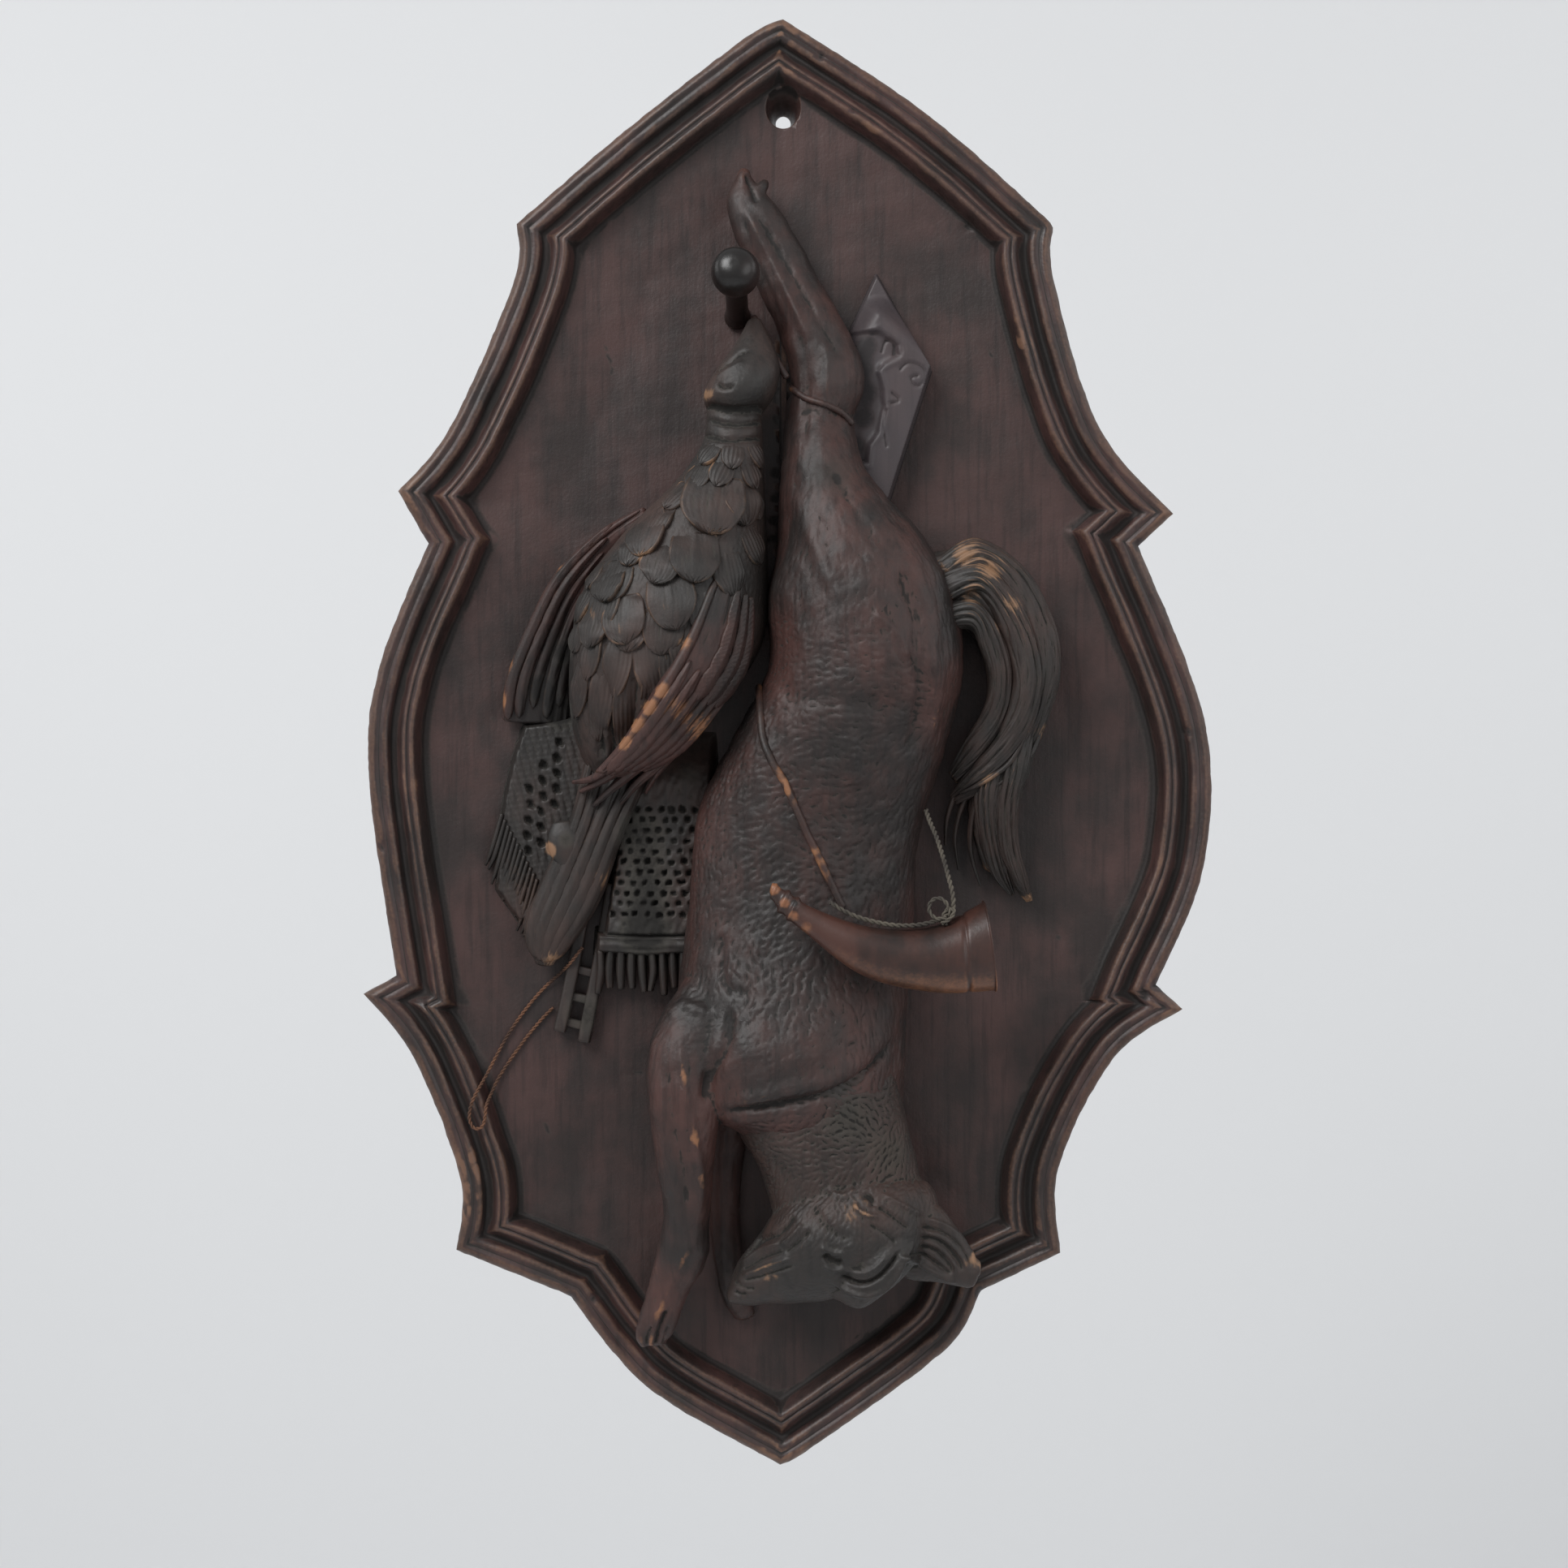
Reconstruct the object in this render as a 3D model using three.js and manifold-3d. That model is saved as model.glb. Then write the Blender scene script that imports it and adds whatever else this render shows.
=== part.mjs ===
// Carved wooden game plaque: a shield-shaped backboard with a double-moulded rim. Its field carries a
// trophy in high relief, with a hanging fox, a game bird, a gun and a game bag, and beside it a hunting
// horn, a peg knob and two strings.
//
// Millimetres, +Z up, +X to the viewer's right. The back of the board lies in the plane y = 0 and its front
// faces -Y. A depth in this file is a height above that back plane, so a depth of 20 means y = -20.
import * as THREE from 'three';
import { mergeVertices } from 'three/addons/utils/BufferGeometryUtils.js';
import { ConvexGeometry } from 'three/addons/geometries/ConvexGeometry.js';
import Module from 'manifold-3d';

const wasm = await Module();
wasm.setup();

// Driving dimensions of the board
const EDGE_THICKNESS = 13.2;      // board at its outer edge, below the rounded arris
const OUTER_BEAD = 15.6;          // crest of the outer moulding
const RIM_GROOVE = 12.6;          // groove between the two mouldings
const INNER_BEAD = 18;            // crest of the inner moulding
const RIM_WIDTH = 18.4;           // outer edge to field
const FIELD_EDGE = 11.2;          // field where it meets the rim
const FIELD_FLOOR = 9.5;          // flat middle of the dished field
const DISH_WIDTH = 24;            // sloping border of the field
const HOLE_RADIUS = 5.8;
const HOLE_HEIGHT = 15;           // hole's centre above the origin
const CLEARANCE = 0.3;            // between separate pieces that touch

// Driving dimensions of the smaller pieces
const KNOB_RADIUS = 7.7;
const PEG_RADIUS = 3.6;
const PEG_LENGTH = 26;
const KNOB_LEAN = 0.22;           // radians, upwards
const SLING_RADIUS = 1.5;
const TIE_RADIUS = 1.3;
const STRING_DIAMETER = 1.6;
const THREAD_DIAMETER = 1.2;
const STRING_STEPS = 18;
const THREAD_STEPS = 30;
const BARREL_RADIUS = 2.1;
const NET_PITCH = [4.9, 4.5];     // holes of the bag's net: across, down
const NET_HOLE = 1.35;            // half a hole's width
const FLAP_PITCH = 4.9;           // holes down the bag's flap
const FLAP_HOLE = 1.25;
const FRINGE_PITCH = 3.7;
const FEATHER_HALF = 1.9;         // half a long feather's width
const LEAF_SWELL = 1.7;           // half a breast feather's thickness

const at = (x, z, depth) => new THREE.Vector3(x, -depth, z);
const mix = (a, b, t) => a + (b - a) * t;

// Smooth values between the rows of a list, at row number s
function between(rows, s) {
  const last = rows.length - 1;
  const i = Math.min(Math.floor(s), last - 1);
  const t = s - i;
  const row = k => rows[Math.max(0, Math.min(last, k))];
  return rows[0].map((_, c) => {
    const [a, b, d, e] = [-1, 0, 1, 2].map(k => row(i + k)[c]);
    return b + 0.5 * t * (d - a + t * (2 * a - 5 * b + 4 * d - e + t * (3 * (b - d) + e - a)));
  });
}

// A closed mesh from rings of equal length; each end is closed by its own middle point
function skin(rings, capStart, capEnd) {
  const sides = rings[0].length;
  const points = rings.flat().concat([capStart, capEnd]);
  const first = points.length - 2;
  const faces = [];
  for (let r = 0; r < rings.length - 1; r++) {
    for (let k = 0; k < sides; k++) {
      const a = r * sides + k;
      const b = r * sides + (k + 1) % sides;
      faces.push([a, b, b + sides], [a, b + sides, a + sides]);
    }
  }
  const base = (rings.length - 1) * sides;
  for (let k = 0; k < sides; k++) {
    const next = (k + 1) % sides;
    faces.push([first, next, k], [first + 1, base + k, base + next]);
  }
  return closedMesh(points, faces);
}

function closedMesh(points, faces) {
  let volume = 0;
  for (const [a, b, c] of faces) volume += points[a].dot(points[b].clone().cross(points[c]));
  const outward = volume > 0 ? faces : faces.map(([a, b, c]) => [a, c, b]);
  const geometry = new THREE.BufferGeometry().setFromPoints(points);
  geometry.setIndex(outward.flat());
  return geometry;
}

function solid(geometry, tolerance = 1e-4) {
  const plain = geometry.clone();
  plain.deleteAttribute('normal');
  plain.deleteAttribute('uv');
  const merged = mergeVertices(plain, tolerance);
  return new wasm.Manifold(new wasm.Mesh({
    numProp: 3,
    vertProperties: merged.attributes.position.array,
    triVerts: new Uint32Array(merged.index.array),
  }));
}

const join = solids => solids.reduce((whole, piece) => whole.add(piece));

function geometryOf(manifold) {
  const { vertProperties, triVerts } = manifold.getMesh();
  const geometry = new THREE.BufferGeometry();
  geometry.setAttribute('position', new THREE.BufferAttribute(vertProperties, 3));
  geometry.setIndex([...triVerts]);
  return geometry;
}

// The outer shell of a joined solid: small pockets closed in between its limbs are filled
function outerShell(manifold) {
  const shells = solid(geometryOf(manifold), 1e-3).decompose();
  return geometryOf(shells.reduce((best, shell) => (shell.volume() > best.volume() ? shell : best)));
}

const ROUNDNESS = 2.2;            // 2 is an ellipse, more is squarer

// Limbs. A section runs from one edge of the form to the other, as seen from the front:
// [x, z, depth of the first edge, x, z, depth of the second, swell to the front, swell to the back].
// A limb is a list of sections, and its surface is a rounded tube through all of them.
function sectionPoint([x1, z1, d1, x2, z2, d2, front, back], angle, square = ROUNDNESS) {
  const middle = at((x1 + x2) / 2, (z1 + z2) / 2, (d1 + d2) / 2);
  const across = at(x2, z2, d2).sub(middle);
  const out = new THREE.Vector3(0, -1, 0).projectOnVector(across).negate();
  out.add(new THREE.Vector3(0, -1, 0)).normalize();
  const soft = v => Math.sign(v) * Math.abs(v) ** (2 / square);
  const swell = Math.sin(angle) > 0 ? front : back;
  return middle.addScaledVector(across, soft(Math.cos(angle)))
    .addScaledVector(out, soft(Math.sin(angle)) * swell);
}

function limb(sections, { rings = 1, sides = 12, square = ROUNDNESS, tip = 0.45 } = {}) {
  const count = (sections.length - 1) * rings;
  const loops = [];
  for (let r = 0; r <= count; r++) {
    const section = between(sections, r / rings);
    loops.push(Array.from({ length: sides }, (_, k) => (
      sectionPoint(section, 2 * Math.PI * (k + 0.5) / sides, square))));
  }
  const centre = loop => loop.reduce((sum, p) => sum.add(p), new THREE.Vector3()).divideScalar(sides);
  const cap = (end, inner) => {
    const middle = centre(end);
    const reach = tip * Math.min(middle.distanceTo(end[0]), middle.distanceTo(end[Math.floor(sides / 4)]));
    return middle.clone().add(middle.clone().sub(centre(inner)).setLength(reach));
  };
  return solid(skin(loops, cap(loops[0], loops[1]), cap(loops[count], loops[count - 1])));
}

// A limb given along its middle line: [x, z, depth, half width, swell to the front, swell to the back]
function strand(spine, options) {
  const sections = spine.map(([x, z, depth, half, front, back], i) => {
    const before = spine[Math.max(0, i - 1)];
    const after = spine[Math.min(spine.length - 1, i + 1)];
    const run = new THREE.Vector2(after[0] - before[0], after[1] - before[1]).setLength(half);
    return [x - run.y, z + run.x, depth, x + run.y, z - run.x, depth, front, back];
  });
  return limb(sections, options);
}

// A round tube through points, closed at both ends
function tube(points, radius, steps, sides = 8) {
  const profile = new THREE.Shape(Array.from({ length: sides }, (_, k) => {
    const angle = 2 * Math.PI * k / sides;
    return new THREE.Vector2(radius * Math.cos(angle), radius * Math.sin(angle));
  }));
  const path = new THREE.CatmullRomCurve3(points);
  return new THREE.ExtrudeGeometry(profile, { steps, extrudePath: path, bevelEnabled: false });
}

// The board's outline, one smooth side after another from corner to corner, clockwise from the top.
// It was cut by hand, so its two halves differ by a few millimetres. Each side: points, then its segments.
const OUTLINE = [
  [[[0, 44], [45.7, 14], [82.6, -18], [88.7, -24.4]], 5],
  [[[88.7, -24.4], [88.9, -42], [103.8, -90], [128, -118.4]], 6],
  [[[128, -118.4], [116.6, -129]], 1],
  [[[116.6, -129], [138.3, -186], [138.3, -233], [122.4, -273]], 7],
  [[[122.4, -273], [131.2, -281]], 1],
  [[[131.2, -281], [108.6, -297], [90.5, -333], [91, -361]], 5],
  [[[91, -361], [65, -373.3]], 2],
  [[[65, -373.3], [53, -393], [10, -424.5], [-1, -430.6]], 5],
  [[[-1, -430.6], [-40, -408.6], [-56.3, -393], [-69.6, -375.4]], 5],
  [[[-69.6, -375.4], [-85, -369], [-107.5, -360]], 2],
  [[[-107.5, -360], [-106, -337], [-121.3, -297], [-137.8, -276]], 5],
  [[[-137.8, -276], [-127, -270]], 1],
  [[[-127, -270], [-136, -206], [-133, -170], [-116.6, -128.2]], 7],
  [[[-116.6, -128.2], [-126.4, -111]], 1],
  [[[-126.4, -111], [-109.4, -90], [-88.4, -42], [-87.6, -23.4]], 6],
  [[[-87.6, -23.4], [-54, 5.6], [-13, 37.4], [0, 44]], 5],
];

const sideCurves = OUTLINE.map(([points]) => (
  new THREE.SplineCurve(points.map(([x, z]) => new THREE.Vector2(x, z)))));

// How much a side loses at a corner for each millimetre that the outline is drawn in
function cornerLoss(before, after) {
  const arriving = before.getTangent(1);
  const leaving = after.getTangent(0);
  const turn = Math.atan2(arriving.cross(leaving), arriving.dot(leaving));
  return Math.tan(-turn / 2);
}

// The outline drawn in by a distance, with mitred corners
function outlineAt(inset) {
  const drawn = sideCurves.map((curve, i) => {
    const total = sideCurves.length;
    const length = curve.getLength();
    const start = cornerLoss(sideCurves[(i + total - 1) % total], curve) * inset;
    const end = length - cornerLoss(curve, sideCurves[(i + 1) % total]) * inset;
    const segments = OUTLINE[i][1];
    return Array.from({ length: segments + 1 }, (_, k) => {
      const run = mix(start, end, k / segments);
      const u = Math.max(0, Math.min(1, run / length));
      const tangent = curve.getTangentAt(u);
      const point = curve.getPointAt(u).addScaledVector(tangent, run - u * length);
      return point.add(new THREE.Vector2(tangent.y, -tangent.x).multiplyScalar(inset));
    });
  });
  return drawn.flatMap((side, i) => {
    const previous = drawn[(i + drawn.length - 1) % drawn.length];
    const corner = side[0].clone().add(previous[previous.length - 1]).multiplyScalar(0.5);
    return [corner, ...side.slice(1, -1)];
  });
}

// The rim's profile from the back edge over both mouldings to the field: [inset, depth]
const RIM_PROFILE = [
  [0, 0],
  [0, EDGE_THICKNESS],
  [2, OUTER_BEAD],
  [6.8, OUTER_BEAD - 0.6],
  [8.4, RIM_GROOVE],
  [10.3, RIM_GROOVE + 1.2],
  [12.2, INNER_BEAD - 0.8],
  [14.9, INNER_BEAD],
  [16.9, INNER_BEAD - 2.4],
  [RIM_WIDTH, FIELD_EDGE],
  [RIM_WIDTH + DISH_WIDTH, FIELD_FLOOR],
];

// Triangles that fill a flat loop, wound the way the loop runs
function flatFaces(loop) {
  const contour = loop.map(p => new THREE.Vector2(p.x, p.z));
  const faces = THREE.ShapeUtils.triangulateShape(contour, []);
  const [a, b, c] = faces[0].map(i => contour[i]);
  const turned = THREE.ShapeUtils.isClockWise([a, b, c]) !== THREE.ShapeUtils.isClockWise(contour);
  return turned ? faces.map(([i, j, k]) => [k, j, i]) : faces;
}

// The board as one solid, its front raised by a gap and its back at a chosen depth
function boardForm(raise = 0, backDepth = 0) {
  const loops = RIM_PROFILE.map(([inset, depth], i) => (
    outlineAt(inset).map(p => at(p.x, p.y, i === 0 ? backDepth : depth + raise))));
  const sides = loops[0].length;
  const faces = [];
  for (let r = 0; r < loops.length - 1; r++) {
    for (let k = 0; k < sides; k++) {
      const a = r * sides + k;
      const b = r * sides + (k + 1) % sides;
      faces.push([a, b, b + sides], [a, b + sides, a + sides]);
    }
  }
  const last = (loops.length - 1) * sides;
  for (const [a, b, c] of flatFaces(loops[0])) faces.push([c, b, a]);
  for (const [a, b, c] of flatFaces(loops.at(-1))) faces.push([last + a, last + b, last + c]);
  return solid(closedMesh(loops.flat(), faces));
}

function board() {
  const drill = new THREE.CylinderGeometry(HOLE_RADIUS, HOLE_RADIUS, 4 * INNER_BEAD, 20);
  drill.translate(0, 0, HOLE_HEIGHT);
  return boardForm().subtract(solid(drill));
}

// The fox, hanging head down by a hind leg
const HIND_LEG = [
  [-15, -10, 18, -10.5, -9.5, 18, 3, 3],
  [-18, -16, 19, -6, -14.5, 19, 5.5, 5],
  [-17, -25, 20, 0.5, -23, 20, 7, 6.5],
  [-10.5, -40, 20, 10, -40, 20, 8, 7],
  [-1, -63, 22, 21.5, -62, 22, 10, 9],
  [2.5, -77, 23, 26.3, -77, 23, 11, 11],
  [1, -88, 23, 21.5, -90, 23, 10, 12],
];
const BODY = [
  [1.5, -83, 22, 21.5, -84, 22, 9, 11],
  [-0.5, -106, 23, 27, -106, 23, 18, 12],
  [-2, -131, 23, 47, -130, 23, 28, 12],
  [-5.5, -148, 23, 55.5, -147, 23, 31, 12],
  [-5, -170, 23, 58.5, -170, 23, 32, 12],
  [-17, -193, 21, 53, -193, 22, 29, 11],
  [-28, -218, 20, 45.5, -219, 20, 26, 10],
  [-31, -250, 20, 42, -250, 20, 25, 10],
  [-34, -276, 20, 40.5, -276, 20, 30, 10],
  [-38, -293, 20, 39.5, -292, 20, 34, 10],
  [-31, -310, 22, 38.5, -308, 20, 31, 9],
  [-18, -317, 25, 39, -316, 22, 25, 9],
];
const NECK = [
  [-24, -300, 24, 36.5, -297, 24, 27, 9],
  [-15, -318, 26, 40, -316, 26, 24, 10],
  [-6.5, -333, 30, 44, -332, 29, 19, 11],
  [-2, -350, 33, 49.5, -350, 32, 15, 11],
];
const HEAD = [
  [-17.8, -368.5, 33, -16.3, -373, 33, 3.5, 3.5],
  [-14.5, -360, 33, -10, -373.3, 33, 8.5, 8],
  [-8, -351, 34, -2, -372.3, 34, 12, 11],
  [2, -338, 36, 12, -371, 36, 17, 14],
  [20, -329, 36, 31, -366, 36, 19, 16],
  [34, -329, 35, 41, -361, 35, 17, 15],
  [44, -333, 34, 46.5, -355, 34, 11, 11],
];
const NEAR_EAR = [
  [14.5, -364, 45, 16.5, -369, 44, 3, 3],
  [21, -355, 49, 25, -371, 46, 6, 5],
  [33, -347, 49, 36.5, -362, 47, 7, 6],
  [40, -344, 44, 44, -355, 43, 5, 5],
];
const FAR_EAR = [
  [38, -336, 38, 39, -364, 38, 7, 7],
  [50, -341, 40, 50, -365, 40, 6, 6],
  [58, -352.5, 41, 59, -366, 41, 4.5, 4.5],
  [61.5, -357, 42, 61.3, -362.5, 42, 2.5, 2.5],
];
const FORELEG = [
  [-29, -266, 28, -14, -266, 28, 8, 8],
  [-40, -283, 33, -16, -282, 34, 12, 12],
  [-43.5, -296, 36, -18, -296, 37, 12, 12],
  [-42.5, -310, 38, -20, -310, 38, 11, 11],
  [-40.5, -326, 37, -22, -327, 37, 9, 10],
  [-38, -345, 34, -23.3, -346, 34, 8, 8],
  [-40.2, -357, 32, -23.8, -358, 32, 7.5, 7.5],
  [-44, -369, 29, -30.5, -371, 29, 6, 6],
  [-47, -380, 27, -34.5, -383, 27, 5.5, 5],
  [-46, -386, 26, -37.5, -387, 26, 4, 4],
];
const FAR_FORELEG = [
  [-24, -312, 17, -10, -312, 17, 6, 8],
  [-24, -345, 15, -14.5, -345, 15, 4.5, 7],
  [-21.5, -371, 15, -12, -370, 15, 4.5, 7],
  [-17.5, -383, 14, -7.5, -381, 14, 3.5, 5],
];

// The brush: a thick core and the long locks that sweep over it from the rump to the tip
const BRUSH_CORE = [
  [40, -134, 24, 42, -155, 24, 9, 11],
  [59, -133.5, 24, 57, -156, 24, 11, 12],
  [75.5, -145.5, 24, 63, -163, 22, 12, 12],
  [84, -167, 22, 66, -176, 20, 12, 11],
  [83, -194, 20, 62, -194, 18, 10, 9],
  [75, -220, 18, 54, -217, 16, 8, 7],
  [75, -236, 16, 58, -234, 15, 5, 6],
];
const BRUSH_LOCKS = [
  [[46, -136, 30, 4, 4, 6], [62, -133.5, 31, 4.5, 5, 7], [75, -143.5, 31, 5, 5, 7],
    [83.2, -161, 29, 5, 5, 8], [82.8, -183, 27, 4.5, 4, 8], [78.5, -202, 24, 3, 3, 6]],
  [[48, -141, 33, 4.5, 4, 6], [62, -141, 34, 5, 5, 7], [72.5, -152, 34, 5, 5, 8],
    [77, -168, 32, 5, 5, 8], [76, -188, 29, 5, 4.5, 8], [71, -208, 26, 4.5, 4, 8],
    [72, -228, 22, 3.5, 4, 7], [79, -242, 18, 1.6, 2, 3]],
  [[50, -148, 34, 4, 4, 6], [61, -150, 35, 4.5, 4.5, 7], [69, -160, 34, 4.5, 4.5, 8],
    [72, -176, 31, 4.5, 4.5, 8], [67, -196, 28, 4.5, 4, 8], [60, -214, 24, 4, 4, 8], [61, -230, 20, 3, 3, 6],
    [69, -241, 17, 1.5, 2, 3]],
  [[52, -155, 33, 3.5, 3, 6], [60, -160, 33, 3.5, 4, 6], [65, -171, 31, 3.5, 4, 7], [64, -184, 28, 3, 3, 6],
    [57, -204, 23, 2.5, 3, 6], [53, -218, 20, 1.5, 2, 4]],
];

// The game bird, hung by the beak, with one wing behind the body and one folded over its front
const BIRD_HEAD = [
  [-11.5, -58.5, 28, -7, -58, 28, 3, 3],
  [-16, -67, 29, -3, -66, 29, 7, 7],
  [-23, -77, 31, -1, -75, 31, 11.5, 11],
  [-25.5, -84, 31, -3, -83, 31, 12.5, 12],
  [-23, -89.5, 30, -7, -88.5, 30, 9, 10],
];
const BIRD = [
  [-24.5, -87, 30, -7, -86.5, 30, 8, 10],
  [-26, -98, 29, -6.5, -97, 29, 11, 10],
  [-34.5, -110, 26, -6, -111.5, 28, 16, 10],
  [-52, -127.5, 23, -5, -136, 28, 23, 11],
  [-65, -146, 21, -6.5, -161, 26, 28, 11],
  [-69, -170, 20, -20, -182, 24, 26, 10],
  [-68, -190, 20, -36, -197, 21, 17, 10],
  [-62, -206, 20, -51, -209, 20, 7, 9],
];
const TAIL = [
  [-64, -198, 22, -41, -201, 22, 6, 10],
  [-70, -220, 21.5, -51, -222, 21.5, 5, 9],
  [-79.5, -240, 20, -58.5, -243, 20, 4.5, 8],
  [-84.5, -254, 19, -66, -256, 19, 4, 7],
  [-81, -265, 17.5, -74.5, -265.5, 17.5, 2.5, 5],
];
const FAR_WING = [
  [-46, -117.5, 22, -44, -124, 22, 3, 9],
  [-60, -125.5, 21, -54.5, -135, 20, 3.5, 9],
  [-74, -138.5, 19, -64, -151, 17, 4.5, 8],
  [-84, -157, 17, -68, -164, 15.5, 4.5, 7],
  [-90.5, -173, 15.5, -69.5, -176, 14.5, 4, 6],
  [-92, -186, 14, -71, -187, 14, 3, 4],
];
const NEAR_WING = [
  [-16.5, -132, 42, -13, -132.5, 38, 2.5, 4],
  [-22.5, -145, 48.5, -10.5, -150, 37, 4.5, 6],
  [-29.5, -162, 51.5, -11.5, -169, 36, 5, 8],
  [-38, -177, 52, -21, -183, 37, 5, 9],
  [-49, -193, 47, -33, -197, 36, 4, 8],
  [-58, -203, 41, -49, -204.5, 34, 3, 6],
];

// The game bag behind the bird's tail
const FLAP_OUTLINE = [
  [-83, -187], [-60, -184], [-52, -200], [-52, -226], [-60, -245], [-75, -252], [-87, -253],
  [-95, -242], [-94, -223], [-91, -210], [-87.5, -197],
];
const BAG_BODY = [
  [-60, -188, 14, -22, -190, 14, 6, 5],
  [-52, -205, 15, -24, -205, 15, 7, 6],
  [-52, -222, 15, -27, -222, 15, 6.5, 6],
  [-58, -252, 15, -28, -252, 15, 6.5, 6],
  [-62, -257, 15, -29, -257, 15, 6, 6],
];
const BAG_BAND = [
  [-62, -257, 15, -28, -257, 15, 8, 5],
  [-62.5, -264, 15, -28, -264, 15, 7.5, 5],
];

// The gun's stock above the hind leg: its faceted butt and the panel sunk in its side
const BUTT_FRONT = [[31, -56, 20], [48.6, -71.3, 21], [35.5, -112, 21], [24, -115, 22], [22, -75, 22]];
const BUTT_BACK = [[30.6, -39.3, 13], [48.6, -71.3, 14], [34.6, -114, 14], [22, -118, 14], [21.5, -63, 15],
  [23.5, -49, 14]];
const BUTT_PANEL_FLOOR = 20.3;
const BUTT_PANEL = [
  [31, -59.8], [37.5, -64.5], [37.5, -68.3], [31.8, -73.4], [33.2, -84], [31.1, -93], [28, -103],
  [18, -103], [18, -59.8],
];
const BARRELS = [
  [[-64, -240, 14], [-68.5, -266, 14], [-73.2, -288, 14]],
  [[-56, -240, 13.5], [-60.5, -266, 13.5], [-65.3, -291.5, 13.5]],
];
const BARREL_BRIDGES = [[-66.5, -268, 13.6], [-69, -279, 13.6]];
// A point on the front of a limb: s is its section number, across runs from -1 to 1 between the edges
function onFront(sections, s, across) {
  return sectionPoint(between(sections, s), Math.acos(across));
}

// The outward direction of a limb's front at such a point
function frontNormal(sections, s, across) {
  const step = 0.02;
  const here = onFront(sections, s, across);
  const down = onFront(sections, s + step, across).sub(here);
  const right = onFront(sections, s, across + step).sub(here);
  const normal = down.cross(right).normalize();
  return normal.y > 0 ? normal.negate() : normal;
}

// Overlapping breast feathers: flat leaves laid in staggered rows on the bird's front
function breastFeathers() {
  const leaves = [];
  for (let row = 0; row < 4; row++) {
    const s = 2.1 + row * 0.9;
    for (let i = 0; i < 3; i++) {
      const across = -0.66 + 0.44 * (i + (row % 2) * 0.5);
      const size = 5.8 + 0.7 * row;
      const leaf = new THREE.SphereGeometry(1, 6, 4);
      leaf.scale(size, LEAF_SWELL, size * 1.15);
      const normal = frontNormal(BIRD, s, across);
      const down = onFront(BIRD, s + 0.1, across).sub(onFront(BIRD, s, across)).normalize();
      const lifted = normal.clone().addScaledVector(down, -0.16).normalize();
      const side = new THREE.Vector3().crossVectors(down, lifted).normalize();
      const along = new THREE.Vector3().crossVectors(lifted, side);
      leaf.applyMatrix4(new THREE.Matrix4().makeBasis(side, lifted, along));
      const centre = onFront(BIRD, s, across).addScaledVector(normal, 0.2);
      leaf.translate(centre.x, centre.y, centre.z);
      leaves.push(solid(leaf));
    }
  }
  return leaves;
}

// Long wing and tail feathers: ridges that run side by side between two sections of a limb
function feathers(sections, from, to, lanes, swell) {
  const sunk = 0.6;
  return lanes.map(across => {
    const rows = [0, 1, 2, 3].map(k => {
      const p = onFront(sections, mix(from, to, k / 3), across);
      const half = k === 3 ? FEATHER_HALF / 2 : FEATHER_HALF;
      return [p.x, p.z, -p.y - sunk, half, swell, 2];
    });
    return strand(rows, { sides: 5 });
  });
}

// Carved cords. The sling follows the flank: [section of the body, place across it].
// The tie round the leg and the lead from the peg: [x, z, depth].
const SLING_ROUTE = [[4.6, -0.8], [5.1, -0.52], [5.6, -0.4], [6.1, -0.24], [6.6, -0.06], [6.78, 0.04]];
const TIE_ROUTE = [[1, -76, 24], [3, -79, 33], [12, -82, 35.5], [20, -86.5, 33], [22.5, -89, 24]];
const LEAD_ROUTE = [[-9.4, -56, 22], [-7.6, -62, 26], [-3.5, -69, 29], [1, -76.5, 30]];

// The hollow of the far ear
const EAR_CUP = { half: [9, 3.4, 7.5], turn: 0.25, centre: [52, -353, 47.5] };

function earCup() {
  const cup = new THREE.SphereGeometry(1, 10, 6);
  cup.scale(...EAR_CUP.half);
  cup.rotateY(EAR_CUP.turn);
  cup.translate(...at(...EAR_CUP.centre));
  return solid(cup);
}

function fox() {
  const sling = SLING_ROUTE.map(([s, across]) => onFront(BODY, s, across));
  const rope = route => solid(tube(route.map(p => at(...p)), TIE_RADIUS, 5, 5));
  return join([
    limb(HIND_LEG, { sides: 12 }),
    limb(BODY, { sides: 16 }),
    limb(NECK, { sides: 14 }),
    limb(HEAD, { sides: 14 }),
    limb(NEAR_EAR, { sides: 8 }),
    limb(FAR_EAR, { sides: 10 }).subtract(earCup()),
    limb(FORELEG, { sides: 10 }),
    limb(FAR_FORELEG, { sides: 8 }),
    limb(BRUSH_CORE, { sides: 8 }),
    ...BRUSH_LOCKS.map(spine => strand(spine, { sides: 6 })),
    solid(tube(sling, SLING_RADIUS, 8, 5)),
    rope(TIE_ROUTE),
    rope(LEAD_ROUTE),
  ]);
}

function bird() {
  return join([
    limb(BIRD_HEAD, { sides: 12 }),
    limb(BIRD, { sides: 16 }),
    ...breastFeathers(),
    limb(TAIL, { sides: 10 }),
    ...feathers(TAIL, 0.6, 3.8, [-0.55, 0.05, 0.6], 1.4),
    limb(FAR_WING, { sides: 10 }),
    ...feathers(FAR_WING, 1.9, 4.9, [-0.7, -0.1, 0.5], 1.6),
    limb(NEAR_WING, { sides: 10 }),
    ...feathers(NEAR_WING, 2.4, 4.8, [-0.75, -0.25, 0.25, 0.7], 1.5),
  ]);
}

// A prism whose outline is drawn in the front view
function slab(outline, nearDepth, farDepth) {
  const shape = new THREE.Shape(outline.map(([x, z]) => new THREE.Vector2(x, z)));
  const prism = new THREE.ExtrudeGeometry(shape, { depth: farDepth - nearDepth, bevelEnabled: false });
  prism.rotateX(Math.PI / 2);
  prism.translate(0, -nearDepth, 0);
  return solid(prism);
}

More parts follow.
